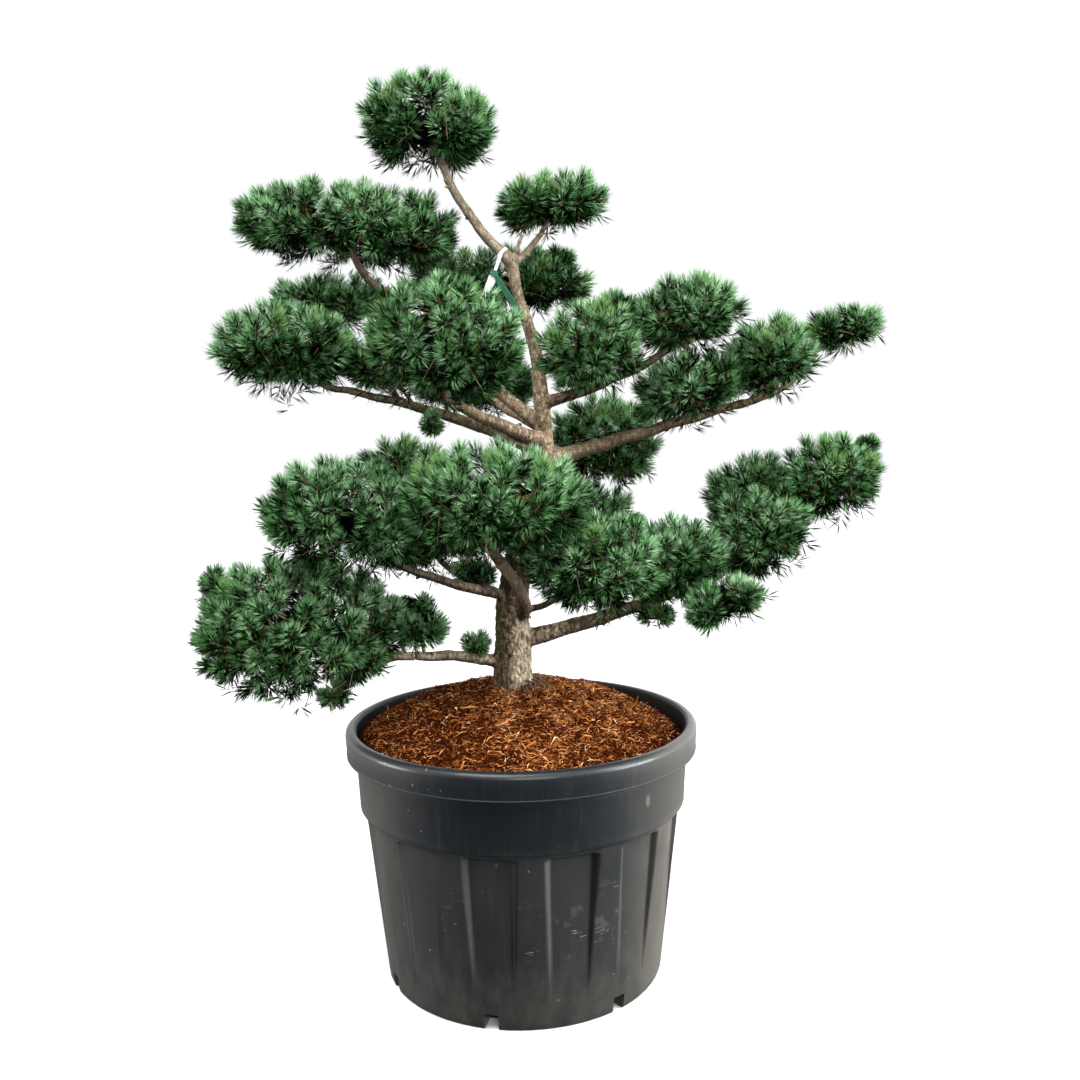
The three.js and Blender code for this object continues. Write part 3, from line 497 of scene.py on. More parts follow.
def lumps(x, y, size, seed):
    """Smooth unevenness between -1 and 1, for arrays of places."""
    flat = zip(np.ravel(x), np.ravel(y))
    values = [noise.noise(Vector((a / size, b / size, seed))) for a, b in flat]
    return np.array(values).reshape(np.shape(x))


def around_middle(radii, heights):
    """Rings of points round the upright axis."""
    rings = np.broadcast_arrays(radii * np.cos(angles), radii * np.sin(angles), heights)
    return np.stack(rings, -1).reshape(-1, 3)


def halved(quads):
    """Two triangles for each face with four corners."""
    return quads[:, [[0, 1, 2], [0, 2, 3]]].reshape(-1, 3).tolist()


ring_count, spoke_count = 60, 160
radii = np.linspace(0, SOIL_EDGE_RADIUS - 0.0005, ring_count)[1:, None]
angles = np.linspace(0, 2 * math.pi, spoke_count, endpoint=False)[None]
x, y = radii * np.cos(angles), radii * np.sin(angles)
z = soil_height(x, y) - SOIL_SINK + 0.004 * lumps(x, y, 0.03, 3.3)
soil_foot = FLOOR_TOP + 0.0004
middle = [(0, 0, SOIL_CROWN - SOIL_SINK), (0, 0, soil_foot)]
soil_points = np.vstack([
    around_middle(radii, z),
    around_middle(BODY_TOP_RADIUS - WALL - CLEARANCE, SHOULDER_FOOT),
    around_middle(body_radius(FLOOR_TOP) - WALL - CLEARANCE, soil_foot),
    middle,
])
crown, underside = len(soil_points) - 2, len(soil_points) - 1
last = ring_count * spoke_count
soil_faces = halved(wrapped(ring_count + 1, spoke_count)[:, [0, 3, 2, 1]])
for j in range(spoke_count):
    k = (j + 1) % spoke_count
    soil_faces += [(crown, j, k), (underside, last + k, last + j)]
potting_mix, shader = new_material("potting_mix", Roughness=0.95, Specular_IOR_Level=0.03)
tree = potting_mix.node_tree
crumbs = grain(tree, 160, 4, 0.6)
loose, damp = (0.095, 0.020, 0.004), (0.014, 0.002, 0.0005)
feed(shader, "Base Color", blend(between(crumbs, 0.35, 0.7), damp, loose))
emboss(shader, crumbs, 0.004)
soil = mesh_piece("potting_mix", soil_points, np.array(soil_faces), [potting_mix])
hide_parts("potting_soil")
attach(soil, "root")

MULCH_TONES = [(0.032, 0.006, 0.001), (0.130, 0.032, 0.007), (0.30, 0.098, 0.025),
               (0.49, 0.190, 0.056), (0.66, 0.330, 0.125), (0.78, 0.520, 0.290)]
MULCH_SHARES = [0.15, 0.22, 0.26, 0.21, 0.12, 0.04]


def unit(vectors):
    return vectors / np.linalg.norm(vectors, axis=-1, keepdims=True)


def scattered(count, radius, rng):
    """Places spread evenly over a disc."""
    reach, turn = radius * np.sqrt(rng.random(count)), rng.random(count) * 2 * math.pi
    return reach * np.cos(turn), reach * np.sin(turn)


def slivers(count, usual_length, sections, rng):
    """Torn slivers of bark lying on the mound: points, triangles and a tone for each triangle."""
    length = np.clip(usual_length * np.exp(rng.normal(0, LENGTH_SPREAD, count)), *SLIVER_LENGTHS)
    x, y = scattered(count, SOIL_EDGE_RADIUS - 0.006, rng)
    radius = np.hypot(x, y)
    z = soil_height(x, y) - SOIL_SINK + 0.006 * lumps(x, y, 0.03, 3.3)
    z += rng.uniform(-0.001, 0.0065, count)
    inward = 1 - length * 0.45 / np.maximum(radius, 0.05) * (radius > SOIL_EDGE_RADIUS - 0.02)
    centre = np.stack([x * inward, y * inward, z], -1)
    turn = rng.random(count) * 2 * math.pi
    tilt = rng.normal(0, SLIVER_TILT, count)
    along = np.stack([np.cos(turn) * np.cos(tilt), np.sin(turn) * np.cos(tilt), np.sin(tilt)], -1)
    side = unit(np.cross(along, unit(rng.normal(0, 0.5, (count, 3)) + (0, 0, 1.4))))
    thick = np.cross(side, along)
    width = length * rng.uniform(*SLIVER_WIDTHS, count) + 0.0006
    depth = width * rng.uniform(*SLIVER_DEPTHS, count)
    sag = rng.normal(0, SLIVER_SAG, count) * length
    corners = []
    for step, wide, bend in sections:
        middle = centre + along * (step * length)[:, None] + thick * (bend * sag)[:, None]
        for sideways, up in [(-0.5, -0.4), (0.5, -0.4), (rng.uniform(-0.3, 0.3, count), 0.6)]:
            shift = side * (sideways * width * wide)[:, None] + thick * (up * depth * wide)[:, None]
            corners.append(middle + shift)
    end = 3 * len(sections) - 3
    pattern = [(0, 2, 1), (end, end + 1, end + 2)] + halved(wrapped(len(sections), 3))
    faces = (np.arange(count)[:, None, None] * len(corners) + np.array(pattern)).reshape(-1, 3)
    across = x / SOIL_EDGE_RADIUS
    # Random light and dark patches, and painted shade that darkens the mulch towards its left and right
    # edges.
    patches_and_painted_shade = 0.45 + 0.7 * lumps(x, y, 0.06, 8.1) + 0.35 * np.tanh(5 * across + 1.6)
    patches_and_painted_shade -= np.clip(across - 0.3, 0, 1) + 0.3 * np.clip(-across - 0.25, 0, 1)
    drawn = np.clip(rng.random(count) ** (3.2 - 2.45 * np.clip(patches_and_painted_shade, 0, 1)), 0, 0.999)
    tone = np.clip(np.searchsorted(np.cumsum(MULCH_SHARES), drawn), 0, len(MULCH_TONES) - 1)
    return np.stack(corners, 1).reshape(-1, 3), faces, np.repeat(tone, len(pattern))


mulch_materials = [new_material(f"mulch_{i + 1}", tone, Roughness=0.95, Specular_IOR_Level=0.03)[0]
                   for i, tone in enumerate(MULCH_TONES)]
rng = np.random.default_rng(5)
for name, (count, usual_length, sections) in SLIVERS.items():
    points, faces, tones = slivers(count, usual_length, sections, rng)
    mulch = mesh_piece(name, points, faces, mulch_materials, tones, smooth=False)
    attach(mulch, "root")

# Trunk and boughs
# Living pine wood trained over many years: one crooked trunk with a root flare, and boughs that
# leave it in collars. Their grey-beige bark flakes in small plates on the trunk and lies
# smoother on the boughs, with rings at each year's growth and stubs where shoots were cut.
# Fine bare roots show at the right of its foot.
TRUNK_ROUTE = mm([-18, 0, 618.35], [-16, -2, 730], [-14, 0, 830], [16, 8, 990], [60, 4, 1150],
                 [58, 0, 1290], [46, 2, 1400], [10, 2, 1520], [-6, 0, 1612])
TRUNK_FOOT_RADIUS, TRUNK_TOP_RADIUS, FLARE_RADIUS = mm(43, 13.5, 4)
TRUNK_STOUT_FOOT, TRUNK_TAPER, FLARE_REACH = 2, 3.6, 0.07
ROOT_RIDGES, ROOT_RIDGE_DEPTH = 5, 0.8
COLLAR_SWELL, COLLAR_REACH = 0.35, 0.12

# Each limb: its parent, the share of the way up it where the limb leaves, the limb's tip, the
# bow at its middle, and its radii at root and end.
LIMBS = {
    "bough_low_left": ("trunk", 0.06, (-235, -75, 712), (0, 0, 8), 15, 10),
    "bough_low_right": ("trunk", 0.12, (560, 40, 905), (0, -20, -12), 19, 9),
    "branch_low_right_near": ("bough_low_right", 0.5, (335, -30, 850), (0, 0, 8), 9, 7),
    "branch_low_right_far": ("bough_low_right", 0.82, (660, 80, 985), (0, 0, -10), 9, 7),
    "bough_low_front": ("trunk", 0.2, (-36, -172, 932), (41, 8, -32), 15, 12.5),
    "bough_low_front_left": ("trunk", 0.25, (-255, -150, 925), (0, 0, -8), 13, 8),
    "bough_low_front_right": ("trunk", 0.21, (135, -150, 872), (0, 0, -10), 9, 6),
    "bough_low_back": ("trunk", 0.29, (80, 195, 890), (0, 0, 10), 13, 9),
    "bough_low_back_left": ("trunk", 0.24, (-185, 185, 880), (0, 0, -4), 12, 8),
    "bough_mid_left_front": ("trunk", 0.53, (-135, -175, 1276), (0, 0, -4), 17, 11),
    "bough_mid_left": ("trunk", 0.51, (-400, -65, 1312), (0, -30, 16), 16, 8),
    "branch_mid_left_back": ("bough_mid_left", 0.7, (-400, 75, 1450), (10, 10, 0), 8, 6),
    "bough_upper_left": ("trunk", 0.56, (-352, 80, 1585), (-14, 60, 0), 15, 10),
    "bough_mid_right_upper": ("trunk", 0.61, (385, -60, 1410), (0, -12, -18), 13, 8),
    "branch_mid_right_near": ("bough_mid_right_upper", 0.4, (190, -85, 1335), (0, 0, 0), 7, 6),
    "bough_mid_right_lower": ("trunk", 0.49, (548, 20, 1272), (0, 0, 0), 18, 9),
    "branch_right_lower_near": ("bough_mid_right_lower", 0.66, (402, 0, 1262), (0, 0, 0), 7, 6),
    "branch_right_lower_far": ("bough_mid_right_lower", 0.93, (705, 55, 1385), (20, 0, -20), 8, 6),
    "bough_mid_back": ("trunk", 0.52, (170, 190, 1150), (0, 0, -8), 13, 9),
    "bough_mid_back_left": ("trunk", 0.56, (-60, 190, 1285), (0, 0, -4), 15, 9),
    "bough_upper_back": ("trunk", 0.78, (12, 120, 1520), (0, 0, -6), 9, 7),
    "bough_low_upper_left": ("trunk", 0.36, (-205, -50, 1062), (0, 0, -6), 10, 7),
    "branch_low_right_upper": ("bough_low_right", 0.72, (560, 112, 1022), (16, 18, -10), 8, 6),
    "branch_fork": ("trunk", 0.955, (22, 4, 1662), (-3, 0, -4), 5.5, 4.5),
    "leader_left": ("trunk", 0.985, (-168, 0, 1848), (-15, 0, -12), 12.5, 9.5),
    "leader_right": ("trunk", 0.975, (66, 4, 1668), (2, 0, -6), 9, 6.5),
}

# A direction that no wood runs along, from which the corners of all tubes are counted.
REFERENCE = np.array([0.31, 0.87, 0.38])
WOOD_SIDES, STUB_SIDES, ROOT_SIDES = 20, 8, 5
WOOD_STEP, VOXEL, YEAR_GROWTH, RING_WIDTH = mm(7, 3, 75, 6)
RING_SWELL = 0.07
SWAY, SWAY_RATES = 0.0022, [47, 61, 53]
STUBS_PER_LIMB = 4
STUB_GIRTH, ROOT_GIRTH = mm([5.2, 3.4], [1.8, 0.8])
SURFACE_ROOTS = 64

# The bark's plates per metre, its relief, and the radius from which wood has all of that relief.
TRUNK_PLATES, LIMB_PLATES, CRACK_WIDTH = 88, 150, 0.30
PLATE_DEPTH, SWELL_DEPTH, FLAKE_DEPTH, LEAST_SWELL, STOUT = mm(2.2, 2.2, 0.5, 0.6, 34)


def spline(points):
    """A smooth line through points, as a function of the share of the way along it."""
    ends = np.vstack([2 * points[0] - points[1], points, 2 * points[-1] - points[-2]])

    def at(share):
        place = np.asarray(share) * (len(points) - 1)
        i = np.clip(place.astype(int), 0, len(points) - 2)
        w = (place - i)[..., None]
        before, start, stop, after = (ends[i + k] for k in range(4))
        leave, arrive = 0.5 * (stop - before), 0.5 * (after - start)
        cubic = 2 * (start - stop) + leave + arrive
        square = 3 * (stop - start) - 2 * leave - arrive
        return start + w * (leave + w * (square + w * cubic))

    return at


def bow(start, control, stop):
    """A line that leaves start towards control and arrives at stop from it."""

    def at(share):
        w = np.asarray(share)[..., None]
        return (1 - w) ** 2 * start + 2 * w * (1 - w) * control + w * w * stop

    return at


def tubes(paths, radii, sides):
    """Points and triangles of many closed tubes, from paths of (tube, step, xyz)."""
    along = unit(np.gradient(paths, axis=1))
    across = unit(np.cross(REFERENCE, along))
    up = np.cross(along, across)
    angle = np.arange(sides) * 2 * math.pi / sides
    out = across[:, :, None] * np.cos(angle)[:, None] + up[:, :, None] * np.sin(angle)[:, None]
    radii = np.broadcast_to(radii.reshape(*paths.shape[:2], -1), (*paths.shape[:2], sides))
    points = paths[:, :, None] + out * radii[..., None]
    steps = paths.shape[1]
    pattern = halved(wrapped(steps, sides))
    end = (steps - 1) * sides
    for j in range(1, sides - 1):
        pattern += [(0, j + 1, j), (end, end + j, end + j + 1)]
    first = np.arange(len(paths)) * steps * sides
    faces = first[:, None, None] + np.array(pattern)
    return points.reshape(-1, 3), faces.reshape(-1, 3)


def tapered(paths, girth, sides):
    """Tubes that all run from the first radius of a pair to the second."""
    return tubes(paths, np.tile(np.linspace(*girth, paths.shape[1]), (len(paths), 1)), sides)


def joined(parts):
    """Several sets of points and faces as one."""
    starts = np.cumsum([0] + [len(points) for points, _ in parts])
    faces = [faces + start for (_, faces), start in zip(parts, starts)]
    return np.vstack([points for points, _ in parts]), np.vstack(faces)


lines = {"trunk": spline(TRUNK_ROUTE)}
girths = {}


def trunk_girth(share):
    stout = (1 - share**TRUNK_STOUT_FOOT) ** TRUNK_TAPER
    taper = TRUNK_TOP_RADIUS + (TRUNK_FOOT_RADIUS - TRUNK_TOP_RADIUS) * stout
    flare = FLARE_RADIUS * np.exp(-share / FLARE_REACH)
    angle = np.arange(WOOD_SIDES * 2) * math.pi / WOOD_SIDES
    ridges = 1 + ROOT_RIDGE_DEPTH * np.cos(ROOT_RIDGES * angle)
    return taper[:, None] + flare[:, None] * ridges


def limb_girth(root, end):
    """A limb's radius: it tapers, and swells where it leaves its parent."""

    def at(share):
        return (root + (end - root) * share) * (1 + COLLAR_SWELL * np.exp(-share / COLLAR_REACH))

    return at


rng = np.random.default_rng(23)
shares = np.linspace(0, 1, 150)
path = lines["trunk"](shares)
parts = [tubes(path[None], trunk_girth(shares)[None], WOOD_SIDES * 2)]

# Marks along the middle of the wood: a place, the way on from it and whether it is the trunk.
wood_marks = [(a, b - a, True) for a, b in zip(path[:-1], path[1:])]
for name, (parent, leave_at, tip, bend, root, end) in LIMBS.items():
    start, tip = lines[parent](leave_at), mm(*tip)
    lines[name] = bow(start, (start + tip) / 2 + 2 * mm(*bend), tip)
    girths[name] = limb_girth(root * 0.001, end * 0.001)
    span = np.linalg.norm(tip - start)
    shares = np.linspace(0, 1, max(8, round(span / WOOD_STEP)))
    path, girth = lines[name](shares), girths[name](shares)
    part_way = shares[:, None]
    path += SWAY * np.sin(part_way * span * SWAY_RATES + rng.random(3) * 6) * part_way
    years = np.abs((shares * span / YEAR_GROWTH + 0.5) % 1 - 0.5) * YEAR_GROWTH
    girth = girth * (1 + RING_SWELL * np.exp(-(years / RING_WIDTH) ** 2))
    parts.append(tubes(path[None], girth[None], WOOD_SIDES))
    wood_marks += [(a, b - a, False) for a, b in zip(path[:-1], path[1:])]
    for at in rng.uniform(0.15, 0.95, STUBS_PER_LIMB):
        i = int(at * (len(path) - 1))
        out = unit(np.cross(path[i + 1] - path[i], rng.normal(size=3)))
        lean = unit(out + 0.5 * unit(path[i + 1] - path[i]))
        reach = girth[i] + rng.uniform(0.002, 0.012)
        stub = path[i] + lean * np.linspace(0, reach, 4)[:, None]
        parts.append(tapered(stub[None], STUB_GIRTH, STUB_SIDES))
points, faces = joined(parts)
wood = mesh_piece("barked_wood", points, faces, [])
fuse = wood.modifiers.new("fuse", "REMESH")
fuse.mode = "VOXEL"
fuse.voxel_size = VOXEL
smooth = wood.modifiers.new("fillet", "SMOOTH")
smooth.factor = 0.5
smooth.iterations = 3
grown = applied(wood)

# The bark's relief, cut into the fused wood: plates and cracks on the trunk, faint ones on the
# limbs, drawn out along the wood.
count = len(grown.vertices)
places = np.empty(count * 3)
normals = np.empty(count * 3)
grown.vertices.foreach_get("co", places)
grown.vertex_normals.foreach_get("vector", normals)
places, normals = places.reshape(-1, 3), normals.reshape(-1, 3)
marks = kdtree.KDTree(len(wood_marks))
for i, (point, _, _) in enumerate(wood_marks):
    marks.insert(point, i)
marks.balance()
relief = np.empty(count)
for i, (place, normal) in enumerate(zip(places, normals)):
    point, mark, away = marks.find(place)
    _, heading, is_trunk = wood_marks[mark]
    heading = Vector(heading).normalized()
    spot = Vector(place)
    spot = spot - heading * spot.dot(heading) * 0.5
    plates = TRUNK_PLATES if is_trunk else LIMB_PLATES
    cells = noise.voronoi(spot * plates)[0]
    crack = min(1.0, (cells[1] - cells[0]) / CRACK_WIDTH)
    flake = noise.noise(spot * plates * 3.1)
    swell = noise.noise(spot * 24)
    deep = min(1.0, away / STOUT)
    relief[i] = deep * (PLATE_DEPTH * (crack - 1) + FLAKE_DEPTH * flake)
    relief[i] += (LEAST_SWELL + SWELL_DEPTH * deep) * swell
places += normals * relief[:, None]
grown.vertices.foreach_set("co", places.ravel())
grown.update()
grown.shade_smooth()

bark, shader = new_material("pine_bark", Roughness=0.9, Specular_IOR_Level=0.12)
tree = bark.node_tree
place = place_on(tree)
height = axis_value(place, 2)
patches = grain(tree, 16, 4, 0.6)
scales = grain(tree, 150, 5, 0.7, (1, 1, 0.45))
pits = add_node(tree, "ShaderNodeTexVoronoi", {"feature": "DISTANCE_TO_EDGE"},
                {"Vector": stretched(tree, (1, 1, 0.5)), "Scale": 105})
fine = grain(tree, 620, 3, 0.6)
spots = grain(tree, 95, 3, 0.55, (1, 1, 0.55))
sideways, backways = axis_value(place, 0), axis_value(place, 1)
facing = add_node(tree, "ShaderNodeNewGeometry", {}, {}, "Normal")
low_trunk = 1 - between(height, 0.85, 1.15)
off_middle = between(sideways * sideways, 0.006, 0.012)
# The limbs away from the trunk's middle, below the young wood, are darker: partly their browner bark and
# partly painted shade under the crown.
off_trunk = between(sideways * sideways, 0.006, 0.022) * (1 - between(height, 1.5, 1.65))
# Painted shade on the wood's left sides low down, and painted light on the trunk's right side.
painted_shaded_side = between(0 - axis_value(facing, 0), 0.1, 0.8) * (1 - between(height, 0.82, 1.25))
painted_lit_side = between(axis_value(facing, 0), -0.15, 0.6) * low_trunk
algae = painted_shaded_side * between(patches + scales * 0.4, 0.55, 0.85)
# Painted shade: the undersides of the wood are painted darker.
underside = between(0 - axis_value(facing, 2), -0.25, 0.75)
# Painted shade on the trunk under the lowest pads, and painted light on the wood in front of the trunk
# there.
under_pads = within(height, (0.81, 0.87), (0.98, 1.06))
in_shade = under_pads * between(backways, -0.058, -0.046)
painted_light_in_front = under_pads * between(0 - backways, 0.058, 0.070) * (1 - off_middle)
young = between(height, 1.45, 1.65)

# Grey-brown patches under pale scales, dark pits and spots, then the limbs' darker brown that is partly
# painted shade, a painted shaded side and a painted lit side, algae, painted shade on the undersides,
# painted light on the wood in front of the trunk, painted shade from above and the paler young wood.
colour = coated(
    blend(between(patches, 0.36, 0.66), (0.150, 0.098, 0.052), (0.330, 0.250, 0.160)),
    (between(scales, 0.46, 0.68) * 0.85, (0.72, 0.61, 0.46)),
    ((1 - between(pits, 0.0, 0.10)) * 0.65, (0.050, 0.034, 0.020)),
    (between(spots, 0.47, 0.60) * (0.25 + 0.65 * low_trunk), (0.040, 0.025, 0.012)),
    (between(fine, 0.50, 0.70) * 0.6, (0.050, 0.034, 0.020)),
    (off_trunk * 0.6, (0.060, 0.046, 0.026)),
    (painted_shaded_side * 0.55, (0.046, 0.035, 0.019)),
    (painted_lit_side * between(scales, 0.35, 0.6) * 0.32, (0.80, 0.69, 0.53)),
    (algae * 0.75, (0.095, 0.092, 0.036)),
    (underside * 0.8, (0.022, 0.015, 0.009)),
    (painted_light_in_front * (0.35 + 0.3 * between(scales, 0.4, 0.6)), (0.40, 0.31, 0.21)),
    (in_shade * 0.75, (0.022, 0.016, 0.009)),
    (young * 0.3, (0.31, 0.27, 0.20)),
)
feed(shader, "Base Color", colour)
emboss(shader, scales * 0.7 + fine * 0.35 + between(pits, 0.0, 0.15) * 0.5, 0.0016)
grown.materials.clear()
grown.materials.append(bark)
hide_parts("trunk", *LIMBS)
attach(wood, "root")

paths = []
for angle in rng.uniform(-1.3, 0.75, SURFACE_ROOTS):
    away = np.array([math.cos(angle), math.sin(angle), 0])
    start = lines["trunk"](0) + away * rng.uniform(0.036, 0.050) + (0, 0, rng.uniform(0.004, 0.016))
    stop = start + away * rng.uniform(0.020, 0.070) + (0, 0, -0.018)
    control = (start + stop) / 2 + rng.normal(0, 0.014, 3) + (0, 0, rng.uniform(0.010, 0.026))
    paths.append(bow(start, control, stop)(np.linspace(0, 1, 9)))
points, faces = tapered(np.array(paths), ROOT_GIRTH, ROOT_SIDES)
fibrous, _ = new_material("root_fibres", (0.135, 0.086, 0.048), Roughness=0.95, Specular_IOR_Level=0.1)
roots = mesh_piece("surface_roots", points, faces, [fibrous])
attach(roots, "root")

# Foliage pads
# Each bough ends in a clipped pad: arms and twigs fan out of its tip, and every twig ends in short
# shoots, brushes of blue-green needles in bundles of five, kept to a rounded outline by shears.
# Thin shoots straggle out below the pads, and a few small lone tufts sit along the boughs.

# Each pad: its limb, its centre and half sizes, its rise to the right in degrees and its seed.
TIERS = {
    "crown": [
        ("foliage_top", "leader_left", (-184, 0, 1926), (168, 142, 126), -4, 11),
        ("foliage_upper_right", "leader_right", (86, 10, 1746), (146, 115, 82), 6, 12),
        ("foliage_upper_back", "bough_upper_back", (-42, 205, 1588), (234, 125, 96), -2, 13),
    ],
    "upper_left": [
        ("foliage_upper_left", "bough_upper_left", (-384, 62, 1702), (274, 190, 116), -6, 14),
        ("foliage_mid_left_back", "branch_mid_left_back", (-446, 120, 1535), (152, 120, 80), 0, 17),
    ],
    "middle_left": [
        ("foliage_mid_left_front", "bough_mid_left_front", (-143, -240, 1402), (186, 165, 150),
         -10, 15),
        ("foliage_mid_left", "bough_mid_left", (-508, -70, 1412), (174, 160, 116), -4, 16),
        ("foliage_mid_left_inner", "bough_mid_left", (-300, -50, 1378), (104, 100, 82), -6, 38),
    ],
    "middle_right": [
        ("foliage_mid_right_near", "branch_mid_right_near", (172, -115, 1395), (134, 112, 112), 10, 18),
        ("foliage_mid_right", "bough_mid_right_upper", (386, -70, 1474), (144, 130, 98), 12, 19),
        ("foliage_right_lower_near", "branch_right_lower_near", (402, 5, 1314), (150, 122, 100), 14, 20),
        ("foliage_right_lower", "bough_mid_right_lower", (602, 35, 1380), (124, 115, 102), 16, 21),
        ("foliage_right_lower_far", "branch_right_lower_far", (772, 60, 1446), (110, 95, 62), 12, 22),
    ],
    "middle_back": [
        ("foliage_mid_back", "bough_mid_back", (212, 300, 1180), (160, 140, 130), 0, 23),
        ("foliage_mid_back_left", "bough_mid_back_left", (-120, 325, 1348), (185, 135, 105), -4, 34),
    ],
    "low_front": [
        ("foliage_low_front", "bough_low_front", (-40, -280, 1072), (198, 178, 140), 0, 24),
        ("foliage_low_front_left", "bough_low_front_left", (-362, -185, 1040), (206, 168, 136), -10, 25),
        ("foliage_low_front_right", "bough_low_front_right", (166, -215, 940), (158, 118, 120),
         -8, 26),
    ],
    "low_back": [
        ("foliage_low_back", "bough_low_back", (120, 310, 966), (198, 147, 138), 0, 27),
        ("foliage_low_back_left", "bough_low_back_left", (-222, 285, 952), (172, 150, 114), 4, 33),
        ("foliage_low_upper_left", "bough_low_upper_left", (-252, -45, 1134), (112, 104, 84), -4, 35),
    ],
    "low_right": [
        ("foliage_low_right_near", "branch_low_right_near", (360, -22, 912), (136, 130, 118), 8, 28),
        ("foliage_low_right", "bough_low_right", (564, 36, 970), (139, 125, 118), 20, 29),
        ("foliage_low_right_far", "branch_low_right_far", (738, 90, 1090), (142, 120, 112), 12, 30),
        ("foliage_low_right_upper", "branch_low_right_upper", (548, 115, 1078), (122, 100, 84), 20, 36),
        ("foliage_low_right_under", "bough_low_right", (446, -150, 842), (112, 84, 60), 14, 37),
    ],
    "low_left": [
        ("foliage_low_left", "bough_low_left", (-496, -90, 783), (246, 200, 172), -3, 31),
        ("foliage_low_left_inner", "bough_low_left", (-222, -75, 786), (74, 76, 54), 0, 39),
        ("foliage_trunk_shoot", "bough_low_left", (-100, -32, 732), (36, 34, 36), 0, 32),
    ],
}

# How far along its limb a stem leaves it, for the pads that don't sit on their limb's tip.
SIDE_SHOOTS = {"foliage_trunk_shoot": 0.22, "foliage_low_right_under": 0.8,
               "foliage_mid_left_inner": 0.62, "foliage_low_left_inner": 0.9}

# Small lone tufts, written like the pads.
TUFTS = {
    "crown": [("tuft_upper_back", "bough_upper_back", (98, 205, 1640), (62, 50, 36), 0, 51)],
    "middle_left": [("tuft_mid_left", "bough_mid_left", (-184, -100, 1234), (26, 24, 30), 0, 52)],
    "middle_right": [("tuft_mid_right", "branch_mid_right_near", (240, -75, 1488), (56, 48, 40), 0, 53)],
    "low_back": [("tuft_low_back", "bough_low_back_left", (-108, 100, 874), (60, 50, 42), 0, 54)],
    "low_right": [
        ("tuft_low_right", "bough_low_right", (317, -30, 792), (50, 44, 32), 0, 55),
        ("tuft_far_right", "branch_low_right_far", (832, 90, 1168), (32, 30, 24), 0, 56),
    ],
    "low_left": [
        ("tuft_low_left", "bough_low_left", (-244, -60, 828), (58, 38, 30), 0, 57),
        ("tuft_hanging", "bough_low_left", (-414, -90, 638), (40, 36, 34), 0, 58),
        ("tuft_far_left", "bough_low_left", (-670, -90, 888), (46, 42, 42), 0, 59),
    ],
}
SPRAY_LENGTH, SPRAY_SPACING = mm(98, 137)
SPRAY_LEAST_REACH, SPRAY_LEAST_LENGTH, SPRAY_LENGTH_SPREAD, SPRAY_TURN_SPREAD = 0.92, 0.9, 0.2, 0.5
LOWEST_SPRAY = math.radians(138)
GOLDEN_ANGLE = math.pi * (3 - math.sqrt(5))
UPWARD, STEM_BEND, SMALL_PAD = 0.35, 0.45, 0.06
ELLIPSOID_POWER = 1.6
SHOOTS_PER_SPRAY, SHOOT_SPREAD, SHOOT_UPTURN = 6, math.radians(45), 0.22
OPEN_BELOW, OPEN_WITHIN, OPEN_SHARE = -0.42, 0.6, 0.5
NEEDLES_PER_SHOOT = 205
DOME_TRIALS, HOLE_WIDTH, FILLING_REACH = 360, 0.046, 0.94
INNER_NEEDLES, INNER_GROWTH, INNER_STRETCH, INNER_REACH, INNER_LIMIT = 190, 3.0, 1.4, 0.05, 0.86
NEEDLE_LENGTH, NEEDLE_WIDTH, NEEDLED_LENGTH, BUD_DEPTH = mm(41, 1.8, 36, 36)
TIP_OPENING, ROOT_OPENING, INNER_OPENING = math.radians(9), math.radians(72), math.radians(160)
SIDE_STEM_GIRTH, ARM_GIRTH, ARM_END_GIRTH = mm(4.5, 5.8, 2.6)
TWIG_GIRTH, SHOOT_GIRTH, STRAY_GIRTH = mm([2.9, 2.1], [1.9, 1.1], [2.1, 1.1])
STEM_SIDES, ARM_SIDES, TWIG_SIDES, SHOOT_SIDES = 12, 7, 5, 4
BUNDLE, OLD_NEEDLES, OLD_SHARE, FRESH_SHARE = 5, 26, 0.2, 0.16
STRAYS, STRAY_NEEDLES = 6, 40

# From the darkest green to the palest, then the fresh and the old needles. The greens are lit and shaded
# copies of one green: the darkest is painted shade, the palest a painted highlight, and the steps
# between are dealt out by shoot as painted light and shade.
GREENS = {
    "needles_painted_shade": (0.0012, 0.0034, 0.0010),
    "needles_deep": (0.010, 0.034, 0.007),
    "needles_mid": (0.042, 0.108, 0.034),
    "needles_green": (0.108, 0.245, 0.092),
    "needles_bright": (0.205, 0.405, 0.180),
    "needles_painted_highlight": (0.370, 0.560, 0.350),
    "needles_fresh": (0.185, 0.350, 0.120),
    "needles_old": (0.200, 0.130, 0.055),
}
PAINTED_SHADE, DEEP, MID, GREEN, BRIGHT, PAINTED_HIGHLIGHT, FRESH, OLD = range(8)
TWIG_BROWNS = {"twigs_young": (0.17, 0.095, 0.048), "twigs_old": (0.10, 0.070, 0.048)}
YOUNG, GROWN = range(2)


def seeded(seed):
    """Numbers between 0 and 1 that are the same on every run."""
    state = seed * 7919 + 17
    while True:
        state = (state * 1664525 + 1013904223) % 2 ** 32
        yield state / 2 ** 32


def on_dome(height, angle):
    """A way out from the middle, from its height and its turn about the upright axis."""
    ring = math.sqrt(1 - height * height)
    return np.array([ring * math.cos(angle), ring * math.sin(angle), height])


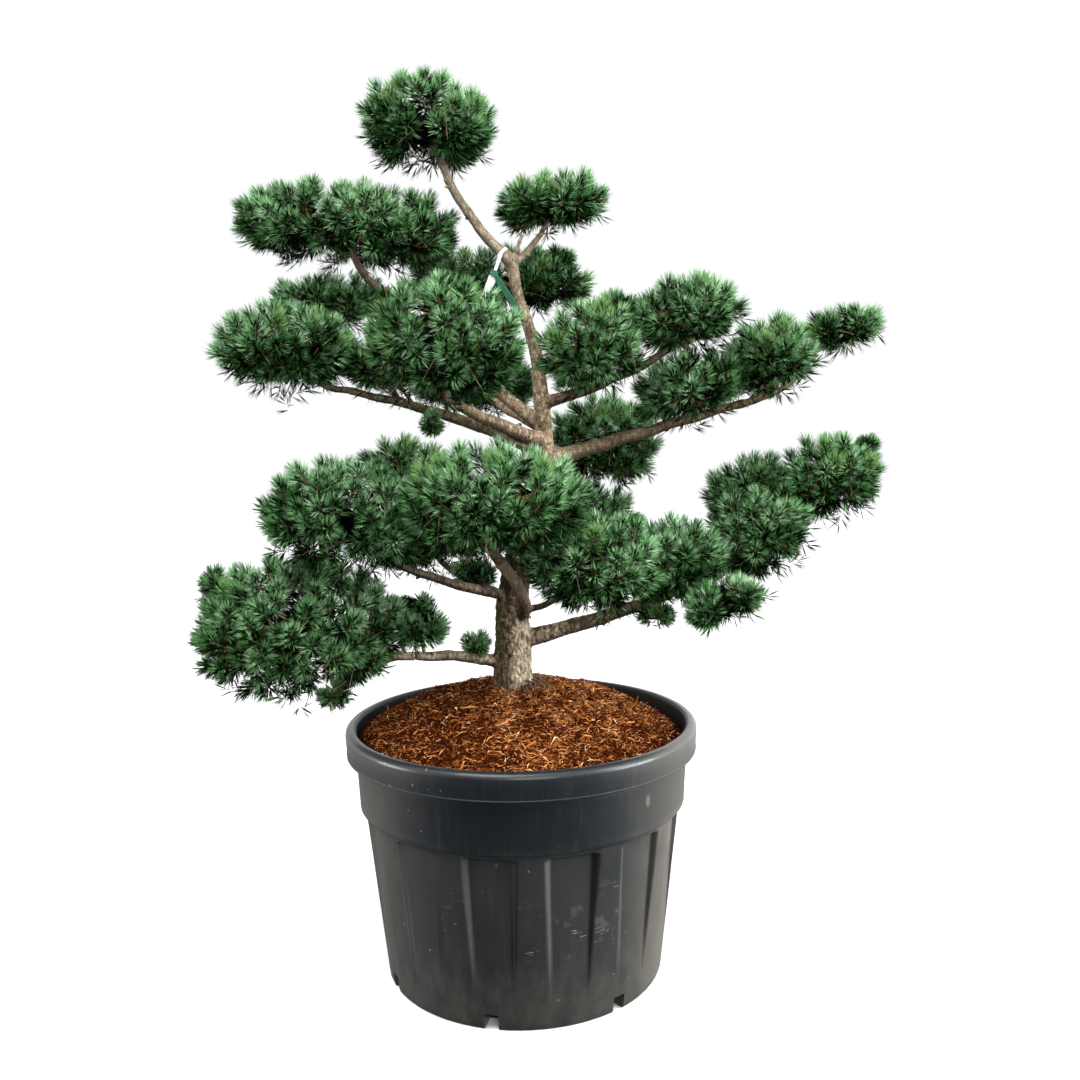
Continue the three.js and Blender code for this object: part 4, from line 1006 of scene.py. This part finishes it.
class Pad:
    """A pad's outline: an ellipsoid that may rise to the right."""

    def __init__(self, name, limb, centre, half, rise, seed):
        self.name, self.limb, self.seed = name, limb, seed
        self.centre, self.half = mm(*centre), mm(*half)
        self.turn = np.array(Matrix.Rotation(math.radians(-rise), 3, "Y"))
        self.size = min(1.0, min(self.half) / SMALL_PAD)

    def point(self, shares):
        return (np.asarray(shares) * self.half) @ self.turn.T + self.centre

    def shares(self, points):
        return (points - self.centre) @ self.turn / self.half

    def share(self, points):
        """How far out points lie: 1 on the outline."""
        return np.linalg.norm(self.shares(points), axis=-1)

    def height_and_reach(self, points):
        """How high and how far from the upright axis points lie, as shares of the half sizes."""
        x, y, z = self.shares(points).T
        return z, np.hypot(x, y)

    def brought_to(self, points, share):
        """Points moved out from the centre, or in towards it, to a share of the outline."""
        scale = share / np.maximum(self.share(points), 0.3)
        return self.centre + (points - self.centre) * scale[..., None]

    def sprays(self):
        """Tip, direction and length of each spray, by the golden angle over the pad's dome."""
        a, b, c = self.half ** ELLIPSOID_POWER
        mean = (a * b + a * c + b * c) / 3
        dome = 2 * math.pi * mean ** (1 / ELLIPSOID_POWER) * (1 - math.cos(LOWEST_SPRAY))
        count = max(4, round(dome / SPRAY_SPACING ** 2))
        longest = min(SPRAY_LENGTH, min(self.half))
        draw = seeded(self.seed)
        for i in range(count):
            height = 1 - (i + 0.5) / count * (1 - math.cos(LOWEST_SPRAY))
            angle = i * GOLDEN_ANGLE + (next(draw) - 0.5) * SPRAY_TURN_SPREAD + self.seed
            reach = SPRAY_LEAST_REACH + (1 - SPRAY_LEAST_REACH) * next(draw)
            outward = on_dome(height, angle)
            heading = self.turn @ unit(outward / self.half)
            length = longest * (SPRAY_LEAST_LENGTH + SPRAY_LENGTH_SPREAD * next(draw))

            # The solid spray's turn is passed over, so that both forms draw the same numbers.
            next(draw)
            yield self.point(outward * reach), unit(heading + (0, 0, UPWARD)), length


def filling(pad, tips, hubs):
    """Tips for more shoots where the pad's dome would show a hole, with the hub next to each."""
    found, tips = [], list(tips)
    for i in range(DOME_TRIALS):
        height = 1 - (i + 0.5) / DOME_TRIALS * (1 - OPEN_BELOW)
        spot = pad.point(on_dome(height, i * GOLDEN_ANGLE + pad.seed) * FILLING_REACH)
        if np.min(np.linalg.norm(np.array(tips) - spot, axis=1)) > HOLE_WIDTH:
            tips.append(spot)
            found.append((spot, np.argmin(np.linalg.norm(hubs - spot, axis=1))))
    return found


def stem_of(pad):
    """The pad's stem: it grows on from the limb's tip, or out of the side of the limb."""
    limb = lines[pad.limb]
    at = SIDE_SHOOTS.get(pad.name, 1.0)
    foot = limb(at)
    top = pad.point((0, 0, -0.05))
    along = unit(limb(1.0) - limb(0.99)) if at == 1 else unit(top - foot)
    return bow(foot, foot + along * np.linalg.norm(top - foot) * STEM_BEND, top)


def arms_of(pad, stem, count, rng):
    """Arms that fan out of the stem, as rows of points."""
    steps = np.linspace(0, 1, 7)
    for i in range(count):
        angle = (i + 0.5 * rng.random()) * GOLDEN_ANGLE + pad.seed
        reach = rng.uniform(0.46, 0.66)
        leave = 0.25 + 0.7 * (i + 1) / count
        start = stem(leave)
        onward = unit(stem(min(1.0, leave + 0.02)) - stem(leave - 0.02))
        flat = (math.cos(angle) * reach, math.sin(angle) * reach, rng.uniform(-0.12, 0.3))
        stop = pad.point(flat)
        control = start + (onward + (0, 0, 0.2)) * np.linalg.norm(stop - start) * 0.4
        yield bow(start, control, stop)(steps)


def bent(start, control, stop):
    """Many bows at once, as (bow, step, xyz)."""
    w = np.linspace(0, 1, 5)[None, :, None]
    return (1 - w) ** 2 * start[:, None] + 2 * w * (1 - w) * control[:, None] + w * w * stop[:, None]


def around(axis, angle):
    """Unit vectors across each axis, turned round it."""
    across = unit(np.cross(REFERENCE, axis))
    return across * np.cos(angle)[..., None] + np.cross(axis, across) * np.sin(angle)[..., None]


def shoots_of(pad, sprays, rng):
    """Buds and directions of the shoots that each spray divides into, open below the pad."""
    tips, headings, lengths = (np.array(values) for values in zip(*sprays))
    hubs = tips - headings * lengths[:, None]
    lift = rng.uniform(0.94, 1.11, len(tips))
    count = max(2, round(SHOOTS_PER_SPRAY * pad.size ** 2))
    found = []
    for k in range(count):
        spread = SHOOT_SPREAD * rng.uniform(0.7, 1.25, len(tips)) if k else 0 * lengths
        angle = k * 2 * math.pi / max(1, count - 1) + rng.uniform(-0.35, 0.35, len(tips))
        way = headings * np.cos(spread)[:, None] + around(headings, angle) * np.sin(spread)[:, None]
        most = lift * rng.uniform(0.95, 1.04, len(tips)) - 0.03 * (k > 0)
        tip = pad.brought_to(hubs + way * lengths[:, None], most)
        height, reach = pad.height_and_reach(tip)
        is_open = (height < OPEN_BELOW) & (reach < OPEN_WITHIN) & (rng.random(len(tips)) < OPEN_SHARE)
        found.append((tip[~is_open], np.flatnonzero(~is_open)))
    ends, homes = (np.concatenate(values) for values in zip(*found))
    for tip, home in filling(pad, ends, hubs):
        ends, homes = np.vstack([ends, tip]), np.append(homes, home)
    ways = unit(unit(ends - hubs[homes]) + (0, 0, SHOOT_UPTURN))
    return hubs, ends - ways * BUD_DEPTH * pad.size, ways, homes


def strays_of(pad, nodes, rng):
    """Feet, buds and directions of the sparse, shaded shoots that straggle out below a pad."""
    count = max(1, round(STRAYS * min(pad.half[0] * pad.half[1] / SPRAY_LENGTH ** 2, 2.5)))
    turn = np.arange(count) * GOLDEN_ANGLE + 0.7 * pad.seed
    reach = np.sqrt((np.arange(count) + 0.5) / count) * 0.9
    depth = -np.sqrt(1 - reach ** 2) * rng.uniform(0.8, 1.05, count)
    buds = pad.point(np.column_stack([reach * np.cos(turn), reach * np.sin(turn), depth]))
    gap = np.linalg.norm(buds[:, None] - nodes[None], axis=-1)
    feet = nodes[np.argmin(gap, axis=1)]
    ways = unit(unit(buds - pad.centre) * (1, 1, 0.35) + rng.normal(0, 0.25, (count, 3)))
    return feet, buds, ways


def shoot_tones(pad, buds, ways, rng):
    """The green of each shoot: bright where light falls, deep underneath, a few of them fresh."""
    height, _ = pad.height_and_reach(buds)
    light = height * 0.70 + ways[:, 2] * 0.40 + rng.normal(0, 0.36, len(buds))
    tones = DEEP + np.digitize(light, [-0.45, -0.02, 0.52])
    return np.where((tones == BRIGHT) & (rng.random(len(buds)) < FRESH_SHARE), FRESH, tones)


def needles_on(buds, ways, count, stretch, openings, size, rng):
    """Kite-shaped needles along a stretch of each shoot, measured back from its bud."""
    bundles = count // BUNDLE
    order = np.arange(bundles)[None, :, None]
    share = (order + rng.random((len(buds), bundles, 1))) / bundles
    back = stretch[0] + (stretch[1] - stretch[0]) * share
    lean = openings[0] + (openings[1] - openings[0]) * share ** 0.7
    lean = lean + rng.normal(0, 0.10, (len(buds), bundles, 1))
    lean = lean + rng.normal(0, 0.075, (len(buds), bundles, BUNDLE))
    angle = order * GOLDEN_ANGLE + rng.random((len(buds), 1, 1)) * 2 * math.pi
    angle = angle + rng.normal(0, 0.12, lean.shape)
    axis = np.broadcast_to(ways[:, None, None], (*lean.shape, 3))
    out = around(axis, angle)
    way = axis * np.cos(lean)[..., None] + out * np.sin(lean)[..., None]
    root = buds[:, None, None] - axis * back[..., None]
    reach = size[0] * rng.uniform(0.88, 1.06, lean.shape) * (0.88 + 0.12 * np.minimum(1, share * 4))
    side = unit(np.cross(way, rng.normal(size=way.shape))) * size[1] / 2
    arch = rng.normal(-0.03, 0.03, lean.shape)[..., None] * out
    half = root + way * (reach * 0.5)[..., None]
    tip = root + (way + arch) * reach[..., None]
    return np.stack([root, half + side, tip, half - side], -2).reshape(-1, 4, 3)


def needle_tones(tones, count, rng):
    """The tone of each needle's outer half and of its root half, from the tone of its shoot; the root
    half is painted shade, two or three steps darker and never above the mid green.
    """
    bundles = count // BUNDLE
    drawn = rng.random((len(tones), bundles))
    outer = np.repeat(tones[:, None], bundles, axis=1)
    # The palest green is a painted highlight, dealt to a few needles.
    plain = (outer > PAINTED_SHADE) & (outer < PAINTED_HIGHLIGHT)
    steps = np.digitize(drawn, [0.10, 0.32, 0.72, 0.95]) - 2
    outer = np.where(plain, np.clip(outer + steps, PAINTED_SHADE, PAINTED_HIGHLIGHT), outer)
    # Painted shade: the root halves are dealt darker greens than the outer halves.
    inner = np.where(outer == OLD, OLD, np.clip(outer - 2 - (drawn < 0.5), PAINTED_SHADE, MID))
    return np.repeat(outer.ravel(), BUNDLE), np.repeat(inner.ravel(), BUNDLE)


def kept_inside(kites):
    """Needles that would pass the solids' box are cut back to it."""
    low, high = np.array(solid_box[0]) + 0.0005, np.array(solid_box[1]) - 0.0005
    root, tip = kites[:, 0], kites[:, 2]
    room = np.where(tip > root, high - root, low - root)
    step = np.where(np.abs(tip - root) < 1e-9, 1e-9, tip - root)
    share = np.clip(np.min(room / step, axis=1), 0.05, 1)
    return root[:, None] + (kites - root[:, None]) * share[:, None, None]


# A tuft's stem leaves its limb at the nearest place.
for tufts in TUFTS.values():
    for name, limb, centre, *_ in tufts:
        shares = np.linspace(0.05, 1, 60)
        gap = np.linalg.norm(lines[limb](shares) - mm(*centre), axis=1)
        SIDE_SHOOTS[name] = shares[np.argmin(gap)]

needle_materials = [new_material(name, colour, Roughness=0.5, Specular_IOR_Level=0.03)[0]
                    for name, colour in GREENS.items()]
twig_materials = [new_material(name, colour, Roughness=0.85)[0] for name, colour in TWIG_BROWNS.items()]

for tier, specs in TIERS.items():
    stem_parts, twig_parts, needle_parts = [], [], []
    for spec in specs + TUFTS.get(tier, []):
        pad = Pad(*spec)
        rng = np.random.default_rng(pad.seed)
        sprays = list(pad.sprays())
        stem = stem_of(pad)
        girth = SIDE_STEM_GIRTH if pad.name in SIDE_SHOOTS else girths[pad.limb](1.0)
        stem_path = stem(np.linspace(0, 1, 9))
        stem_parts.append(tapered(stem_path[None], (girth, girth * 0.55), STEM_SIDES))
        arm_paths = np.array(list(arms_of(pad, stem, max(3, len(sprays) // 2), rng)))
        arm_girth = min(ARM_GIRTH, girth * 0.7), ARM_END_GIRTH
        stem_parts.append(tapered(arm_paths, arm_girth, ARM_SIDES))

        # Twigs from the stem and arms to the sprays, and shoots from there to the buds.
        hubs, buds, ways, homes = shoots_of(pad, sprays, rng)
        nodes = np.vstack([arm_paths[:, 2:].reshape(-1, 3), stem_path[4:]])
        gap = np.linalg.norm(hubs[:, None] - nodes[None], axis=-1)
        gap += 1.5 * np.maximum(0, nodes[None, :, 2] - hubs[:, None, 2])
        starts = nodes[np.argmin(gap, axis=1)]
        spans = np.linalg.norm(hubs - starts, axis=1, keepdims=True)
        twig_paths = bent(starts, (starts + hubs) / 2 + (0, 0, -0.12) * spans, hubs)
        twig_parts.append((tapered(twig_paths, TWIG_GIRTH, TWIG_SIDES), GROWN))
        needled = NEEDLED_LENGTH * pad.size
        shoot_paths = bent(hubs[homes], buds - ways * needled, buds)
        twig_parts.append((tapered(shoot_paths, SHOOT_GIRTH, SHOOT_SIDES), YOUNG))

        # Needles on the shoots, broad near-black ones inside the pad as painted shade, a few old ones
        # and the strays'.
        length = NEEDLE_LENGTH * pad.size ** 0.5
        opening = TIP_OPENING, ROOT_OPENING
        dense = needles_on(buds, ways, NEEDLES_PER_SHOOT, (0, needled), opening,
                           (length, NEEDLE_WIDTH), rng)
        # Painted shade: broad near-black needles fill the pad's inside round the hubs.
        inside = unit(hubs - pad.centre + (0, 0, 0.02))
        ahead = INNER_REACH * min(1.0, min(pad.half) / SPRAY_LENGTH)
        shaded = needles_on(hubs, inside, INNER_NEEDLES, (-ahead, needled), (TIP_OPENING, INNER_OPENING),
                            (length * INNER_STRETCH, NEEDLE_WIDTH * INNER_GROWTH), rng)
        shaded = shaded[pad.share(shaded[:, 2]) < INNER_LIMIT]
        aged = np.flatnonzero(rng.random(len(buds)) < OLD_SHARE)
        old = needles_on(buds[aged], ways[aged], OLD_NEEDLES, (needled, needled + 0.02),
                         (ROOT_OPENING, ROOT_OPENING + 0.5), (length * 0.9, NEEDLE_WIDTH), rng)
        feet, stray_buds, stray_ways = strays_of(pad, nodes, rng)
        stray_paths = bent(feet, (feet + stray_buds) / 2 + (0, 0, 0.01), stray_buds)
        twig_parts.append((tapered(stray_paths, STRAY_GIRTH, SHOOT_SIDES), GROWN))
        sparse = needles_on(stray_buds, stray_ways, STRAY_NEEDLES, (0, NEEDLED_LENGTH), opening,
                            (length, NEEDLE_WIDTH), rng)
        for kites, tones, count in (
            (dense, shoot_tones(pad, buds, ways, rng), NEEDLES_PER_SHOOT),
            (old, np.full(len(aged), OLD), OLD_NEEDLES),
            # The strays below the pad are dealt the deep green as painted shade.
            (sparse, np.full(len(feet), DEEP), STRAY_NEEDLES),
        ):
            needle_parts.append((kites, *needle_tones(tones, count, rng)))
        dark = np.full(len(shaded), PAINTED_SHADE)
        needle_parts.append((shaded, dark, dark))

    kites, outer_tones, inner_tones = (np.concatenate(values) for values in zip(*needle_parts))
    corners = kept_inside(kites).reshape(-1, 3)
    root_half, outer_half = (0, 1, 3), (1, 2, 3)
    fold = np.array([root_half, outer_half])
    triangles = (np.arange(len(corners) // 4)[:, None, None] * 4 + fold).reshape(-1, 3)
    tones = np.stack([inner_tones, outer_tones], 1).ravel()
    needles = mesh_piece(f"needles_{tier}", corners, triangles, needle_materials, tones, smooth=False)
    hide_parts(*[spec[0] for spec in specs])
    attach(needles, "root")
    points, faces = joined([part for part, _ in twig_parts])
    twig_tones = np.concatenate([np.full(len(part[1]), tone) for part, tone in twig_parts])
    twigs = mesh_piece(f"twigs_{tier}", points, faces, twig_materials, twig_tones)
    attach(twigs, "root")
    points, faces = joined(stem_parts)
    stems = mesh_piece(f"stems_{tier}", points, faces, [bark])
    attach(stems, "root")

# Tag and ribbon
# A plain label of white plastic film, whose strap is threaded round the left leader, and a strip
# of green plastic netting that is knotted round the strap and hangs down over the trunk.
TAG_LEAN = math.radians(20.7)
STRAP_LENGTH, STRAP_WIDTH, TAG_LENGTH, TAG_WIDTH, FILM = mm(48, 7, 62, 18, 1.2)
LOOP_AT = 0.1
RIBBON_WIDTH, STRAND_GIRTH, EDGE_GIRTH = mm(12, 0.9, 1.1)
RIBBON_END = mm(15, -11, 1478)
NET_STRANDS, NET_WAVES, KNOT_TURNS = 8, 4, 5
KNOT_PITCH, KNOT_WIDTH, KNOT_NARROWING, KNOT_DEPTH, KNOT_GIRTH = mm(2.6, 8.5, 0.6, 4.2, 1.9)


def band(sections, closed):
    """Points and faces of a strip with four-cornered sections, closed on itself or capped."""
    faces = wrapped(len(sections), 4, closed).tolist()
    if not closed:
        end = len(sections) * 4 - 4
        faces += [(3, 2, 1, 0), (end, end + 1, end + 2, end + 3)]
    return sections.reshape(-1, 3), np.array(faces)


leader = lines["leader_left"]
axis = unit(leader(LOOP_AT + 0.01) - leader(LOOP_AT - 0.01))
across = unit(np.cross(axis, (0, 1, 0)))
loop_radius = girths["leader_left"](LOOP_AT) + 0.001
sections = []
for angle in np.linspace(0, 2 * math.pi, 36, endpoint=False):
    outward = across * math.cos(angle) + np.cross(axis, across) * math.sin(angle)
    sections.append([leader(LOOP_AT) + outward * (loop_radius + r * FILM) + axis * s * STRAP_WIDTH
                     for r, s in ((0, -0.5), (1, -0.5), (1, 0.5), (0, 0.5))])
loop = band(np.array(sections), True)

down = np.array([-math.sin(TAG_LEAN), 0, -math.cos(TAG_LEAN)])
sideways = np.array([math.cos(TAG_LEAN), 0, -math.sin(TAG_LEAN)])
strap_top = leader(LOOP_AT) + (0, -(loop_radius + FILM / 2), 0)
whole = STRAP_LENGTH + TAG_LENGTH
stations = np.concatenate([
    np.linspace(0, STRAP_LENGTH, 14),
    STRAP_LENGTH + mm(1, 2, 3.5),
    np.linspace(STRAP_LENGTH + 0.006, whole - 0.003, 12),
    whole - mm(1.5, 0.6, 0),
])
width_stations = [0, STRAP_LENGTH, STRAP_LENGTH + 0.0035, whole - 0.003, whole - 0.0006, whole]
widths = [STRAP_WIDTH, STRAP_WIDTH, TAG_WIDTH, TAG_WIDTH, TAG_WIDTH - 0.003, TAG_WIDTH - 0.006]
half_widths = np.interp(stations, width_stations, widths) / 2
curl = -0.004 * (stations / whole) ** 2
sections = []
for along, half, dip in zip(stations, half_widths, curl):
    centre = strap_top + down * along + (0, dip, 0)
    sections.append([centre + sideways * s * half + (0, t * FILM, 0)
                     for s, t in ((-1, 0.5), (-1, -0.5), (1, -0.5), (1, 0.5))])
points, faces = joined([loop, band(np.array(sections), False)])
film, shader = new_material("tag_plastic", Roughness=0.42)
film_cloud = grain(film.node_tree, 70, 2)
feed(shader, "Base Color", blend(between(film_cloud, 0.3, 0.7), (0.74, 0.77, 0.80), (0.84, 0.86, 0.88)))
tag = mesh_piece("label", points, faces, [film], smooth=False)
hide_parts("tag")
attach(tag, "root")

knot = strap_top + down * (STRAP_LENGTH + 0.004) + (0, -0.003, 0)
parts = []
turn_share = np.linspace(0, 1, 21)
for i in range(KNOT_TURNS):
    tilt = 0.25 * math.sin(i * 2.3)
    drop = (i - (KNOT_TURNS - 1) / 2) * -KNOT_PITCH
    wide = KNOT_WIDTH - KNOT_NARROWING * abs(i - 2)
    angle = (turn_share * 2 * math.pi * 0.98 + i)[:, None]
    winding = knot + sideways * wide * np.cos(angle) + down * (drop + tilt * wide * np.cos(angle))
    winding = winding + (0, 1, 0) * (KNOT_DEPTH * np.sin(angle))
    parts.append(tapered(winding[None], (KNOT_GIRTH, KNOT_GIRTH), 6))
share = np.linspace(0, 1, 61)
hang = bow(knot, (knot + RIBBON_END) / 2 + (0.002, -0.009, -0.006), RIBBON_END)(share)
flat = unit(np.cross((RIBBON_END - knot), (0, 1, 0)))
ribbon_width = RIBBON_WIDTH * np.minimum(1, 0.35 + share * 4)
for i in range(NET_STRANDS):
    wave = (share * NET_WAVES + i / NET_STRANDS) % 1
    offset = ribbon_width * (2 * np.abs(wave - 0.5) - 0.5)
    fore = 0.0009 * np.sign(0.5 - wave) - 0.0015
    strand = hang + flat * offset[:, None] + (0, 1, 0) * fore[:, None]
    parts.append(tapered(strand[None], (STRAND_GIRTH, STRAND_GIRTH), 4))
for side in (-0.5, 0.5):
    edge = hang + flat * (side * ribbon_width)[:, None] + (0, -0.0015, 0)
    parts.append(tapered(edge[None], (EDGE_GIRTH, EDGE_GIRTH), 4))
points, faces = joined(parts)
netting, _ = new_material("tie_ribbon", (0.012, 0.125, 0.066), Roughness=0.45)
ribbon = mesh_piece("netting_ribbon", points, faces, [netting])
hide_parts("tag_ribbon")
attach(ribbon, "root")
